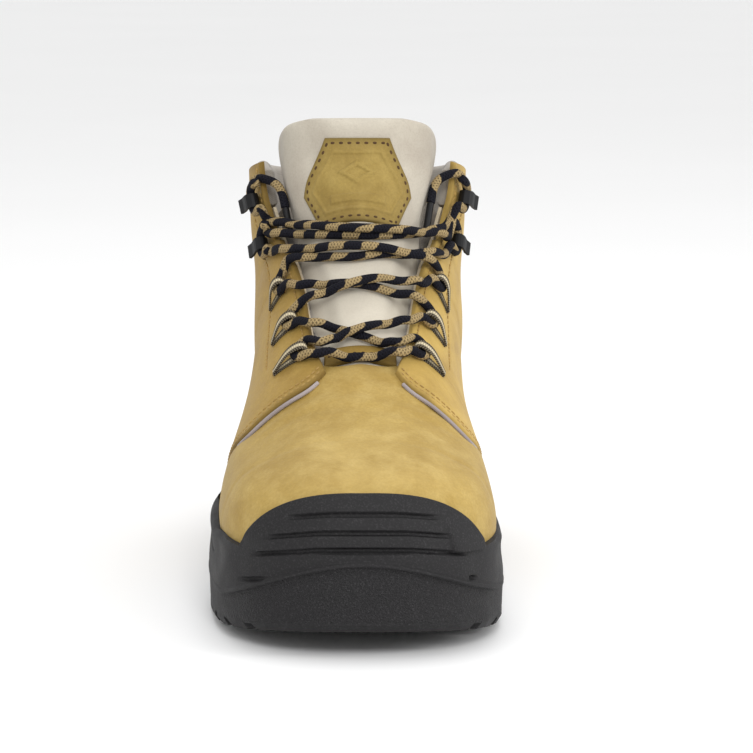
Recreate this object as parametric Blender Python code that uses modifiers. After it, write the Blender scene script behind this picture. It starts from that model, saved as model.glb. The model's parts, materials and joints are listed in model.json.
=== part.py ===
"""Steel toe work boot, right foot, EU size 42 to 43, at its real size.

Frame: toe towards -Y, heel towards +Y, +Z up, +X on the medial (big toe) side.
Lengths in the constants are millimetres; they become metres where meshes are made.
The upper is one curved surface, base_point(t, a): t runs from the toe tip, over the vamp and
up the shaft; a runs round one half section, 0 on the front centre line, 1 at the feather line
or, on the shaft, at the back seam. Its panels are layers laid at offsets from that surface.
"""

import math

import bmesh
import bpy
import numpy as np
from mathutils import Matrix

MM = 0.001

# Overall sizes.
LENGTH = 305.0           # outsole, toe to heel
GAP = 0.4                # between pieces that touch
COLLAR_T = 1.0           # t at the collar line
TOP_T = 1.12             # t at the top of the tongue
HEEL_T = 0.80            # t where the base rail turns up the back of the heel
TURN_T = 0.70            # t where it starts to slow down towards the heel

# Stations of the upper: t, front rail (u, z), base rail (u, z), widening of the section
# beyond its base, where along the section the front rounding ends, and how square it is.
# u is the distance behind the outsole's toe tip.
STATIONS = (
    (0.00, 6.5, 25.0, 6.5, 25.0, 1.00, 1.00, 2.4),
    (0.05, 5.6, 36.0, 9.0, 25.0, 1.00, 1.00, 2.4),
    (0.10, 6.6, 45.5, 14.0, 25.0, 1.00, 0.98, 2.4),
    (0.15, 10.0, 54.0, 21.0, 24.8, 1.00, 0.94, 2.4),
    (0.20, 16.5, 61.5, 29.5, 24.5, 1.00, 0.90, 2.45),
    (0.25, 26.0, 67.0, 40.0, 24.2, 1.00, 0.86, 2.5),
    (0.30, 38.0, 71.0, 52.0, 24.0, 1.00, 0.82, 2.5),
    (0.35, 52.0, 75.0, 65.0, 24.0, 1.00, 0.80, 2.4),
    (0.40, 68.0, 80.0, 81.0, 24.0, 1.00, 0.80, 2.3),
    (0.45, 84.0, 87.0, 98.0, 24.4, 1.00, 0.80, 2.2),
    (0.50, 100.0, 96.0, 120.0, 25.4, 1.01, 0.78, 2.1),
    (0.55, 115.0, 107.0, 147.0, 27.5, 1.03, 0.72, 2.05),
    (0.60, 128.5, 119.0, 179.0, 30.5, 1.08, 0.62, 2.0),
    (0.65, 139.5, 130.5, 214.0, 33.0, 1.15, 0.54, 2.0),
    (0.70, 148.5, 141.0, 250.0, 34.4, 1.20, 0.48, 2.0),
    (0.75, 155.5, 149.5, 280.0, 35.4, 1.21, 0.44, 2.0),
    (0.80, 160.5, 156.0, 295.5, 36.0, 1.21, 0.42, 2.0),
    (0.85, 164.0, 161.5, 300.0, 64.0, 1.22, 0.42, 2.05),
    (0.90, 167.0, 166.5, 296.0, 94.0, 1.22, 0.42, 2.1),
    (0.95, 169.5, 170.0, 292.5, 122.0, 1.14, 0.43, 2.15),
    (1.00, 171.5, 174.5, 295.0, 149.0, 1.06, 0.44, 2.2),
    (1.12, 175.5, 193.5, 299.0, 172.0, 1.05, 0.44, 2.2),
)
# Half width of the upper along its base, before the ends are rounded: (u, half width).
UPPER_WIDTH = ((0, 50.5), (45, 51), (70, 52), (95, 52.2), (120, 50), (150, 45),
               (180, 40), (210, 36.5), (240, 34.5), (305, 34.5))
SHAFT_WIDTH = ((0.70, 34.5), (0.80, 34.5), (0.88, 34.5), (0.94, 37.5), (1.00, 41.5), (1.12, 43))
# Half width of the outsole, before the ends are rounded: (u, half width).
SOLE_WIDTH = ((0, 55.4), (45, 56), (70, 57), (95, 57.4), (120, 56), (150, 52),
              (180, 47), (210, 44), (240, 43.5), (305, 42.5))
# Sideways place of the centre line: along the base by u, and along the front rail by t.
BASE_LINE = ((0, 4), (45, 2.5), (95, -0.5), (150, -2.5), (200, -1.5), (260, 0), (305, 0.5))
RIDGE_LINE = ((0, 4), (0.2, 4), (0.35, 3), (0.5, 2.5), (0.65, 2.2), (0.8, 1.2), (1.12, 0.8))
# Back of the upper: (z, u).
BACK_LINE = ((20, 294.5), (36, 295.5), (50, 297.5), (66, 298), (84, 295.8), (104, 292.5),
             (124, 290.5), (140, 291.4), (152, 293), (180, 297))
TOE_ROUND, TOE_SQUARE, TOE_TIP = 70.0, 2.45, 6.5       # plan rounding of the upper's toe
HEEL_ROUND, HEEL_SQUARE = 36.0, 2.2                    # plan rounding of the upper's heel
SOLE_TOE_ROUND, SOLE_HEEL_ROUND = 74.0, 46.0

# Layers of the upper, as offsets from its base surface.
VAMP = (-1.8, 0.0)
QUARTER = (0.8, 2.3)
OVERLAY = (4.0, 5.1)
HEEL_OVERLAY = (4.7, 5.8)
STIFFENER = (-1.8, -0.9)
LINING = (-3.6, -2.7)
TOE_CAP = (-4.0, -2.2)
TOE_LINING = (-5.3, -4.5)
TONGUE = (-11.8, -4.7)
GUSSET = (-5.5, -4.7)
COLLAR = (-6.5, -0.6)
BUMPER = (0.9, 4.8)
TOE_START = 0.03         # t of the first row of the panels that wrap the toe

# Sole: heights above the ground.
TOE_SPRING, SPRING_END = 11.0, 95.0
ARCH_RISE, ARCH_START, ARCH_END = 6.0, 176.0, 222.0
TREAD, GROOVE_DEPTH, GROOVE_WIDTH = 7.0, 4.0, 5.0
FLOOR_DROP = 5.2         # from the feather line down to the midsole's floor
FEATHER = ((0, 25), (50, 24), (95, 24.4), (147, 27.5), (179, 30.5), (214, 33), (250, 34.4), (305, 36))
RIM = ((0, 40), (30, 38.4), (60, 40), (100, 43), (150, 43), (200, 42), (250, 42), (305, 43))

BADGE_T, BADGE_WIDTH = (0.766, 0.840, 1.05), (20, 27.5, 14.5)

# Lacing. Places on the surface are (t, distance from the front centre line).
LACE_RADIUS = 1.6
LACE_STEP, LACE_TURN = 9.0, math.cos(math.radians(24))  # greatest length and turn of a segment
LACE_REST, LACE_OVER = -0.4, 4.6                        # height of its centre: on the tongue, on a quarter
LOOPS = {                # outer root and inner root of each webbing loop, bottom to top
    -1: (((0.534, 35.5), (0.534, 20.0)), ((0.594, 40.0), (0.596, 25.5)),
         ((0.662, 46.5), (0.672, 34.0))),
    1: (((0.532, 35.5), (0.538, 20.5)), ((0.594, 40.5), (0.602, 26.5)),
        ((0.660, 47.0), (0.680, 34.5))),
}
HOOKS = {-1: ((0.806, 52), (0.912, 53.5)), 1: ((0.822, 55), (0.925, 56.5))}
# Runs of the lace over the tongue, from lateral to medial: (t, distance to the medial side,
# extra height over another run).
RUNS = {
    "bar": ((0.518, -15, 0), (0.518, 0, 0), (0.519, 15, 0)),
    "low_under": ((0.572, -18.5, 0), (0.566, -12, 0), (0.555, -4, 0), (0.544, 5.5, 0), (0.535, 14, 0)),
    "low_over": ((0.536, -14, 0), (0.546, -6, 3.4), (0.556, 3, 3.6), (0.569, 12, 1.2), (0.576, 18.5, 0)),
    "middle_under": ((0.643, -24, 0), (0.637, -16, 0), (0.629, -4, 0), (0.624, 6, 0), (0.621, 18, 0),
                     (0.619, 24, 0)),
    "middle_over": ((0.614, -22, 0), (0.616, -15, 2.4), (0.618, -7, 3.8), (0.629, 5, 3.8), (0.638, 16, 2.6),
                    (0.650, 26, 0)),
    "high_under": ((0.702, -32, 0), (0.694, -22, 0), (0.680, -12, 0), (0.673, -1, 0), (0.682, 9, 0),
                   (0.706, 26, 0), (0.745, 43, 0)),
    "high_over": ((0.765, -46, 0), (0.728, -33, 0.2), (0.705, -20, 1.6), (0.686, -4, 3.2), (0.684, 10, 3.8),
                  (0.690, 21, 3.8), (0.698, 31, 1.2)),
    "top_under": ((0.835, -48, 0), (0.777, -34, 0), (0.740, -21, 0), (0.713, -2, 0), (0.738, 20, 0),
                  (0.780, 33, 0), (0.850, 47, 0)),
    "top_over": ((0.862, -47, 0), (0.808, -34, 0.4), (0.757, -20, 2.2), (0.719, -2, 3.7), (0.733, 17, 3.8),
                 (0.762, 31, 3.4), (0.812, 46, 0.6)),
}
RIVET_RADIUS, RIVET_HEIGHT, RIVET_OUT = 1.4, 0.9, 3.6
LOOP_HEIGHT, LOOP_WIDTH, LOOP_TAPE, LOOP_FOOT = 8.7, 4.5, 1.1, 2.7
HOOK_WIDTH, HOOK_PLATE, HOOK_GAP, HOOK_REACH, HOOK_FOOT = 6.0, 1.0, 4.2, 5.3, 2.8

COLOURS = {
    "nubuck": ((0.50, 0.34, 0.10), 0.85, 0.0),
    "nubuck_light": ((0.56, 0.40, 0.14), 0.85, 0.0),
    "rubber": ((0.045, 0.043, 0.046), 0.7, 0.0),
    "midsole": ((0.05, 0.048, 0.05), 0.75, 0.0),
    "padding": ((0.55, 0.50, 0.43), 0.9, 0.0),
    "lining": ((0.42, 0.40, 0.38), 0.9, 0.0),
    "piping": ((0.36, 0.31, 0.34), 0.8, 0.0),
    "steel": ((0.55, 0.56, 0.58), 0.35, 1.0),
    "black_metal": ((0.02, 0.02, 0.022), 0.35, 0.8),
    "board": ((0.60, 0.54, 0.44), 0.9, 0.0),
    "webbing": ((0.48, 0.42, 0.32), 0.9, 0.0),
    "lace": ((0.09, 0.08, 0.09), 0.85, 0.0),
}


# Smooth functions from a few chosen points.

def curve(points):
    """Natural cubic spline through (x, y) points, held at its end values outside them."""
    x, y = np.array(points, float).T
    count, h = len(x), np.diff(x)
    rows, right = np.eye(count), np.zeros(count)
    for i in range(1, count - 1):
        rows[i, i - 1 : i + 2] = h[i - 1], 2 * (h[i - 1] + h[i]), h[i]
        right[i] = 6 * ((y[i + 1] - y[i]) / h[i] - (y[i] - y[i - 1]) / h[i - 1])
    bend = np.linalg.solve(rows, right)

    def value(q):
        q = np.clip(np.asarray(q, float), x[0], x[-1])
        i = np.clip(np.searchsorted(x, q) - 1, 0, count - 2)
        before, after = q - x[i], x[i + 1] - q
        cubic = (bend[i] * after**3 + bend[i + 1] * before**3) / (6 * h[i])
        return (
            cubic
            + (y[i] / h[i] - bend[i] * h[i] / 6) * after
            + (y[i + 1] / h[i] - bend[i + 1] * h[i] / 6) * before
        )

    return value


def rounding(distance, radius, square):
    """0 at an end, rising to 1 at the radius, as a superellipse does."""
    x = np.clip(1 - distance / radius, 0, 1)
    return np.clip(1 - x**square, 0, 1) ** (1 / square)


def smooth_step(x, low, high):
    x = np.clip((x - low) / (high - low), 0, 1)
    return x * x * (3 - 2 * x)


columns = np.array(STATIONS).T
front_u, front_z, rail_u, rail_z, widening, front_end, squareness = (
    curve(np.stack([columns[0], column], axis=1)) for column in columns[1:]
)
upper_width, shaft_width, sole_width = curve(UPPER_WIDTH), curve(SHAFT_WIDTH), curve(SOLE_WIDTH)
base_line, ridge_line, back_line = curve(BASE_LINE), curve(RIDGE_LINE), curve(BACK_LINE)
feather_height, rim_height = curve(FEATHER), curve(RIM)


def base_rail(t):
    """The feather line, then the back of the heel: (u, z)."""
    z = rail_z(t)
    start, end = rail_u(TURN_T), back_line(rail_z(HEEL_T))
    left = np.clip((HEEL_T - t) / (HEEL_T - TURN_T), 0, 1)
    turn = end - (end - start) * left**1.75
    return np.where(t > HEEL_T, back_line(z), np.where(t > TURN_T, turn, rail_u(t))), z


def straight_width(t):
    """Half width at the base rail without the heel's rounding."""
    u, _ = base_rail(t)
    foot = upper_width(u) * rounding(u - TOE_TIP, TOE_ROUND, TOE_SQUARE)
    return np.where(t < SHAFT_WIDTH[0][0], foot, shaft_width(t))


def section(t, s):
    """Centre, half width, u and z at the share s of the way from the front to the base rail."""
    fu, fz = front_u(t), front_z(t)
    bu, bz = base_rail(t)
    u, z = fu + (bu - fu) * s, fz + (bz - fz) * s
    base = straight_width(t)
    belly = 1 + (widening(t) - 1) * np.cos(np.clip((s - front_end(t)) / (1 - front_end(t) + 1e-9),
                                                   0, 1) * math.pi / 2)
    half = base * belly * rounding(s, front_end(t), squareness(t))
    half = half * rounding(back_line(z) - u, HEEL_ROUND, HEEL_SQUARE)
    centre = ridge_line(t) + (base_line(bu) - ridge_line(t)) * s
    return centre, half, u, z


# The upper's surface as a table over (t, a), with a from -1 (lateral) to 1 (medial).
T_STEPS, A_STEPS, S_STEPS = 281, 121, 241
t_table = np.linspace(0, TOP_T, T_STEPS)
a_table = np.linspace(-1, 1, 2 * A_STEPS - 1)


def build_table():
    share = (1 - np.cos(np.linspace(0, math.pi, S_STEPS))) / 2
    points = np.zeros((T_STEPS, len(a_table), 3))
    girth = np.zeros(T_STEPS)
    half_a = np.linspace(0, 1, A_STEPS)
    for row, t in enumerate(t_table):
        centre, half, u, z = section(np.full(S_STEPS, t), share)
        walk = np.concatenate([[0], np.cumsum(np.sqrt(np.diff(half) ** 2 + np.diff(u) ** 2
                                                      + np.diff(z) ** 2))])
        girth[row] = walk[-1]
        at = half_a * walk[-1]
        c, w, uu, zz = (np.interp(at, walk, v) for v in (centre, half, u, z))
        y = uu - LENGTH / 2
        points[row, A_STEPS - 1 :] = np.stack([c + w, y, zz], axis=1)
        points[row, : A_STEPS] = np.stack([c - w, y, zz], axis=1)[::-1]
    along = np.gradient(points, axis=0)
    across = np.gradient(points, axis=1)
    normal = np.cross(across, along)
    # The back seam and the toe tip lie on the centre line, so their normals have no sideways part.
    normal[np.ix_(np.where(t_table > HEEL_T)[0], [0, -1], [0])] = 0
    normal[0] = (0, -1, 0)
    size = np.linalg.norm(normal, axis=2, keepdims=True)
    normal = normal / np.maximum(size, 1e-12)
    middle = np.stack([points[:, :1, 0] * 0, 140 + 0 * points[:, :1, 0] - LENGTH / 2,
                       points[:, :1, 2] * 0 + 60], axis=2)
    flip = np.sum(normal * (points - middle), axis=2).mean() < 0
    return points, -normal if flip else normal, girth


table_points, table_normals, table_girth = build_table()


def base_point(t, a, offset=0.0):
    """Points at an offset outwards from the upper's base surface."""
    t, a, offset = np.broadcast_arrays(t, a, offset)
    row = np.clip(t, 0, TOP_T) / TOP_T * (T_STEPS - 1)
    col = (np.clip(a, -1, 1) + 1) / 2 * (len(a_table) - 1)
    i = np.clip(row.astype(int), 0, T_STEPS - 2)
    j = np.clip(col.astype(int), 0, len(a_table) - 2)
    fi, fj = (row - i)[..., None], (col - j)[..., None]

    def blend(table):
        return (
            table[i, j] * (1 - fi) * (1 - fj)
            + table[i + 1, j] * fi * (1 - fj)
            + table[i, j + 1] * (1 - fi) * fj
            + table[i + 1, j + 1] * fi * fj
        )

    normal = blend(table_normals)
    normal /= np.maximum(np.linalg.norm(normal, axis=-1, keepdims=True), 1e-9)
    return blend(table_points) + normal * offset[..., None]


def girth(t):
    """Half the way round the section at t."""
    return np.interp(t, t_table, table_girth)


def share(t, distance):
    """The a of a point this far from the front centre line, along the surface."""
    return distance / girth(t)


def a_at_height(t, height):
    """The positive a where a section meets a height given by u, or nan where it doesn't."""
    row = base_point(np.full(A_STEPS, t), np.linspace(0, 1, A_STEPS))
    above = row[:, 2] - height(row[:, 1] + LENGTH / 2)
    if above[0] < 0 or above[-1] > 0:
        return np.nan
    return float(np.interp(0, -above, np.linspace(0, 1, A_STEPS)))


# Mesh helpers.

def make_material(name):
    colour, roughness, metallic = COLOURS[name]
    material = bpy.data.materials.new(name)
    material.use_nodes = True
    shader = material.node_tree.nodes["Principled BSDF"]
    shader.inputs["Base Color"].default_value = (*colour, 1)
    shader.inputs["Roughness"].default_value = roughness
    shader.inputs["Metallic"].default_value = metallic
    return material


def add_object(name, data, material, smooth=True):
    piece = bpy.data.objects.new(name, data)
    piece.data.materials.append(materials[material])
    boot.objects.link(piece)
    if smooth and isinstance(data, bpy.types.Mesh):
        data.shade_smooth()
        data.set_sharp_from_angle(angle=math.radians(40))
    return piece


def grid_mesh(name, across, along, place, outward=None):
    """A grid primitive whose corners (p, q), each 0 to 1, are moved to place(p, q) in mm."""
    work = bmesh.new()
    bmesh.ops.create_grid(work, x_segments=across, y_segments=along, size=0.5)
    flat = np.array([v.co[:] for v in work.verts]) + 0.5
    points = place(flat[:, 0], flat[:, 1]) * MM
    for vertex, point in zip(work.verts, points):
        vertex.co = point
    work.normal_update()
    if outward is not None:
        facing = outward(flat[:, 0], flat[:, 1])
        score = sum(float(np.dot(v.normal, n)) for v, n in zip(work.verts, facing))
        if score < 0:
            bmesh.ops.reverse_faces(work, faces=work.faces)
    bmesh.ops.remove_doubles(work, verts=work.verts, dist=1e-6)
    mesh = bpy.data.meshes.new(name)
    work.to_mesh(mesh)
    work.free()
    return mesh


def shell(name, material, across, along, region, layer):
    """A panel of the upper: region(p, q) gives (t, a), and the layer its two offsets."""
    low, high = layer

    def place(p, q):
        t, a = region(p, q)
        return base_point(t, a, low(t) if callable(low) else low)

    def outward(p, q):
        t, a = region(p, q)
        return base_point(t, a, 1) - base_point(t, a, 0)

    piece = add_object(name, grid_mesh(name, across, along, place, outward), material)
    solid = piece.modifiers.new("Solidify", "SOLIDIFY")
    solid.thickness = (high(0) - low(0) if callable(low) else high - low) * MM
    solid.offset = 1
    return piece


def ring_loft(name, material, rings):
    """A closed solid through rings of equal length; its first and last ring close flat on a line."""
    stack = np.array(rings)
    count = stack.shape[1]

    def place(p, q):
        i = np.rint(p * count).astype(int) % count
        j = np.rint(q * (len(stack) - 1)).astype(int)
        return stack[j, i]

    mesh = grid_mesh(name, count, len(stack) - 1, place)
    work = bmesh.new()
    work.from_mesh(mesh)
    bmesh.ops.dissolve_degenerate(work, dist=1e-6, edges=work.edges)
    bmesh.ops.recalc_face_normals(work, faces=work.faces)
    work.to_mesh(mesh)
    work.free()
    return add_object(name, mesh, material)


def tube(name, material, points, radius, sides=2):
    """A round bar through points in mm, with closed ends."""
    data = bpy.data.curves.new(name, "CURVE")
    data.dimensions = "3D"
    data.bevel_depth = radius * MM
    data.bevel_resolution = sides
    data.use_fill_caps = True
    spline = data.splines.new("POLY")
    spline.points.add(len(points) - 1)
    for target, point in zip(spline.points, points):
        target.co = (*(np.asarray(point) * MM), 1)
    return add_object(name, data, material)


def along_curve(points, step):
    """Points a step apart on a smooth curve through the given ones."""
    points = np.asarray(points, float)
    walk = np.concatenate([[0], np.cumsum(np.linalg.norm(np.diff(points, axis=0), axis=1))])
    tracks = [curve(np.stack([walk, points[:, k]], axis=1)) for k in range(3)]
    fine = np.linspace(0, walk[-1], 40 * len(points))
    dense = np.stack([track(fine) for track in tracks], axis=1)
    length = np.concatenate([[0], np.cumsum(np.linalg.norm(np.diff(dense, axis=0), axis=1))])
    at = np.linspace(0, length[-1], max(2, int(round(length[-1] / step)) + 1))
    return np.stack([np.interp(at, length, dense[:, k]) for k in range(3)], axis=1)


# Sole unit.

def ground(u):
    """Height of the outsole's underside: toe spring in front, raised under the arch."""
    spring = TOE_SPRING * np.clip(1 - u / SPRING_END, 0, 1) ** 1.5
    arch = ARCH_RISE * smooth_step(u, ARCH_START, ARCH_START + 14) * (
        1 - smooth_step(u, ARCH_END - 8, ARCH_END))
    return spring + arch


RING_HALF = 36


def closed_ring(side_points):
    """A full ring from points of the medial half, given as (centre, half width, u, z) rows."""
    centre, half, u, z = side_points
    medial = np.stack([centre + half, u - LENGTH / 2, z], axis=1)
    lateral = np.stack([centre - half, u - LENGTH / 2, z], axis=1)
    return np.concatenate([medial, lateral[-2:0:-1]])


def evenly(points):
    """The same path with points at even steps along it."""
    walk = np.concatenate([[0], np.cumsum(np.linalg.norm(np.diff(points[:, :3], axis=0), axis=1))])
    at = np.linspace(0, walk[-1], RING_HALF + 1)
    return np.stack([np.interp(at, walk, points[:, k]) for k in range(points.shape[1])], axis=1)


def sole_ring(inset, height, shrink=1.0):
    """The outsole's outline, moved in by an inset, at height(u); shrink 0 makes it a spine."""
    angle = np.linspace(0, math.pi, 400)
    u = inset + (LENGTH - 2 * inset) * (1 - np.cos(angle)) / 2
    half = (sole_width(u) - inset) * rounding(u - inset, SOLE_TOE_ROUND, 2.5) * rounding(
        LENGTH - inset - u, SOLE_HEEL_ROUND, 2.3)
    path = evenly(np.stack([half, u, 0 * u], axis=1))
    half, u = path[:, 0], path[:, 1]
    if shrink == 0:
        half = 0 * half
    return closed_ring((base_line(u), half, u, height(u)))


def upper_ring(height, clearance, at_base=False):
    """The upper's outline at height(u), moved out by clearance(u)."""
    points = []
    for t in np.linspace(0, HEEL_T + 0.06, 500):
        a = 1.0 if at_base and t <= HEEL_T else a_at_height(t, height)
        if at_base and t > HEEL_T or np.isnan(a):
            continue
        place = base_point(np.array([t]), np.array([a]))[0]
        out = base_point(np.array([t]), np.array([a]), 1.0)[0] - place
        out[2] = 0
        out /= max(np.linalg.norm(out), 1e-9)
        centre = base_line(place[1] + LENGTH / 2)
        place += out * clearance(place[1] + LENGTH / 2)
        points.append((place[0] - centre, place[1] + LENGTH / 2, 0.0, centre))
    path = np.array(points)
    path[0, 0] = path[-1, 0] = 0
    path = evenly(path)
    half, u, centre = path[:, 0], path[:, 1], path[:, 3]
    return closed_ring((centre, half, u, height(u)))


def clearance(u):
    """Room between the midsole's wall and the upper: more where the quarters cover the vamp."""
    return 1.2 + 2.1 * smooth_step(u, 100, 118)


def floor_height(u):
    return feather_height(u) - FLOOR_DROP


def make_outsole():
    rings = [
        sole_ring(2.0, ground, 0),
        sole_ring(2.0, ground),
        sole_ring(0.5, lambda u: ground(u) + 2.5),
        sole_ring(0.5, lambda u: ground(u) + TREAD),
        sole_ring(0.5, lambda u: ground(u) + TREAD, 0),
    ]
    piece = ring_loft("outsole", "rubber", rings)
    places = [22, 40, 58, 76, 94, 112, 130, 148, 166, 232, 250, 268, 286]
    bars = []
    for u in places:
        bars.append(((0, u, ground(u) + GROOVE_DEPTH / 2 - 5), (140, GROOVE_WIDTH, GROOVE_DEPTH + 10)))
    cut(piece, "tread_cross_grooves", bars)
    channel = [((0, 92, GROOVE_DEPTH / 2 - 5), (6, 130, GROOVE_DEPTH + 10)),
               ((0, 255, GROOVE_DEPTH / 2 - 5), (6, 50, GROOVE_DEPTH + 10))]
    cut(piece, "tread_channel", channel)


def cut(piece, name, boxes):
    """Cuts boxes, each (centre with u for y, size), out of a piece."""
    work = bmesh.new()
    for (x, u, z), size in boxes:
        made = bmesh.ops.create_cube(work, size=MM)["verts"]
        bmesh.ops.scale(work, vec=size, verts=made)
        bmesh.ops.translate(work, vec=(x * MM, (u - LENGTH / 2) * MM, z * MM), verts=made)
    mesh = bpy.data.meshes.new(name)
    work.to_mesh(mesh)
    work.free()
    cutter = bpy.data.objects.new(name, mesh)
    cutters.objects.link(cutter)
    cutter.hide_render = True
    cutter.display_type = "WIRE"
    modifier = piece.modifiers.new(name, "BOOLEAN")
    modifier.operation = "DIFFERENCE"
    modifier.object = cutter


def make_midsole():
    def under(u):
        return ground(u) + TREAD + GAP

    rings = [
        sole_ring(0.5, under, 0),
        sole_ring(0.5, under),
        sole_ring(0.0, lambda u: under(u) + 5),
        sole_ring(0.8, lambda u: rim_height(u) - 5),
        sole_ring(1.8, lambda u: rim_height(u) - 1),
        upper_ring(rim_height, lambda u: clearance(u) + 0.6),
        upper_ring(lambda u: rim_height(u) - 1, clearance),
        upper_ring(feather_height, clearance, True),
        upper_ring(feather_height, clearance, True) - (0, 0, FLOOR_DROP),
        sole_ring(4.0, floor_height, 0),
    ]
    ring_loft("midsole", "midsole", rings)


def inner_plate(name, material, inset, low, high):
    """A plate inside the upper: the feather outline moved in, between two heights above it."""
    base = upper_ring(feather_height, lambda u: -inset, True)
    spine = base.copy()
    spine[:, 0] = base_line(base[:, 1] + LENGTH / 2)
    up = np.array((0, 0, 1.0))
    ring_loft(name, material, [spine + up * low, base + up * low, base + up * high,
                               spine + up * high])


def make_shank():
    def place(p, q):
        u = 150 + 85 * q
        return np.stack([base_line(u) + 18 * (p - 0.5), u - LENGTH / 2,
                         floor_height(u) + GAP], axis=1)

    mesh = grid_mesh("shank", 2, 10, place, lambda p, q: np.tile((0, 0, 1.0), (len(p), 1)))
    piece = add_object("shank", mesh, "steel")
    solid = piece.modifiers.new("Solidify", "SOLIDIFY")
    solid.thickness, solid.offset = 1.0 * MM, 1


def make_bumper():
    """Scuff cap round the toe, from the midsole's rim up to a crest over the toe dome."""
    lowest_t, end_t, crest_t, end_a = 0.085, 0.225, 0.184, 0.80

    def heights(u):
        return rim_height(u) + 2 * GAP

    def region(p, q):
        side = 2 * p - 1
        reach = np.abs(side) * 0.96
        low_t = lowest_t + (end_t - lowest_t) * reach
        low_a = np.array([a_at_height(t, heights) for t in low_t])
        low_a = np.where(np.isnan(low_a), 0, low_a)
        top_t, top_a = crest_t + (end_t - crest_t) * reach**2, end_a * reach
        return low_t + (top_t - low_t) * q, np.sign(side) * (low_a + (top_a - low_a) * q)

    shell("toe_bumper", "rubber", 26, 5, region, BUMPER)


# Upper.

# Front edge of each quarter, t by a, and the vamp's edge, which runs on under the quarters.
quarter_edge = {
    -1: curve(((0, 0.510), (0.115, 0.503), (0.175, 0.484), (0.28, 0.470), (0.42, 0.464), (0.52, 0.469),
               (0.60, 0.488), (0.75, 0.520), (1, 0.545))),
    1: curve(((0, 0.510), (0.115, 0.503), (0.175, 0.481), (0.28, 0.464), (0.42, 0.452), (0.51, 0.455),
              (0.60, 0.478), (0.75, 0.515), (1, 0.545))),
}
vamp_edge = curve(((0.0, 0.508), (0.12, 0.509), (0.24, 0.53), (0.5, 0.538), (0.75, 0.565), (1, 0.585)))
# Distances from the front centre line: of the quarters' throat edges, and of the tongue's sides.
throat_edge = curve(((0.5, 13.5), (0.52, 15), (0.555, 18.5), (0.605, 22.5), (0.69, 29.5),
                     (0.78, 41), (0.87, 47), (1, 50)))
tongue_width = curve(((0.48, 22), (0.55, 28), (0.62, 34), (0.70, 38), (0.80, 42), (0.9, 44.5),
                      (1.02, 45.5), (1.05, 45), (1.075, 41), (1.1, 28)))


# Rows of a quarter crowd together where its base turns round the heel.
row_share = curve(((0, 0), (0.22, 0.30), (0.45, 0.50), (0.72, 0.64), (0.85, 0.78), (1, 1)))


def quarter_region(side, p, q, start=0.0, end=COLLAR_T, inset=0.0, depth=1.0):
    """(t, a) over a quarter: p from its throat edge to its back, q from its front to the collar."""
    q = row_share(q)
    nominal = 0.506 + (COLLAR_T - 0.506) * q
    a_low = share(nominal, throat_edge(nominal) + inset)
    a = a_low + (depth - a_low) * (1 - (1 - p) ** 1.3)
    front = quarter_edge[side](a) + start
    return front + (end - front) * q, side * a


def wrap_region(corners, p, q):
    """(t, a) over a piece that wraps round the heel. The corners of one side, as (t, a), are
    front low, back low, back high, front high; p runs from lateral to medial."""
    (t0, a0), (t1, a1), (t2, a2), (t3, a3) = corners
    side = 2 * p - 1
    back = 1 - np.abs(side)
    t = (1 - back) * (1 - q) * t0 + back * (1 - q) * t1 + back * q * t2 + (1 - back) * q * t3
    a = (1 - back) * (1 - q) * a0 + back * (1 - q) * a1 + back * q * a2 + (1 - back) * q * a3
    return t, np.where(side < 0, -1, 1) * a


def heel_top(u):
    """Height of the heel cover's top edge: it falls away towards its front ends."""
    return 54 + 25.6 * smooth_step(u, 205, 265)


def heel_cover_region(p, q):
    """From just above the midsole's rim up to a curved top edge, round the heel."""
    side = 2 * p - 1
    back = 1 - np.abs(side)
    low_t, top_t = 0.70 + 0.135 * back, 0.715 + 0.161 * back
    low_a = np.array([a_at_height(t, lambda u: rim_height(u) + 4) for t in low_t])
    top_a = np.array([a_at_height(t, heel_top) for t in top_t])
    low_a, top_a = np.where(np.isnan(low_a), 1, low_a), np.where(np.isnan(top_a), 1, top_a)
    return low_t + (top_t - low_t) * q, np.where(side < 0, -1, 1) * (low_a + (top_a - low_a) * q)


def collar_region(p, q, low=0.90, high=1.02):
    t = low + (high - low) * q
    side = 2 * p - 1
    a_low = share(t, throat_edge(t) + 5)
    return t, np.where(side < 0, -1, 1) * (1 - np.abs(side) * (1 - a_low))


def lining_low(t):
    """The lining steps inwards under the toe cap."""
    return TOE_LINING[0] + (LINING[0] - TOE_LINING[0]) * smooth_step(t, 0.375, 0.43)


def lining_high(t):
    return lining_low(t) + LINING[1] - LINING[0]


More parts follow.
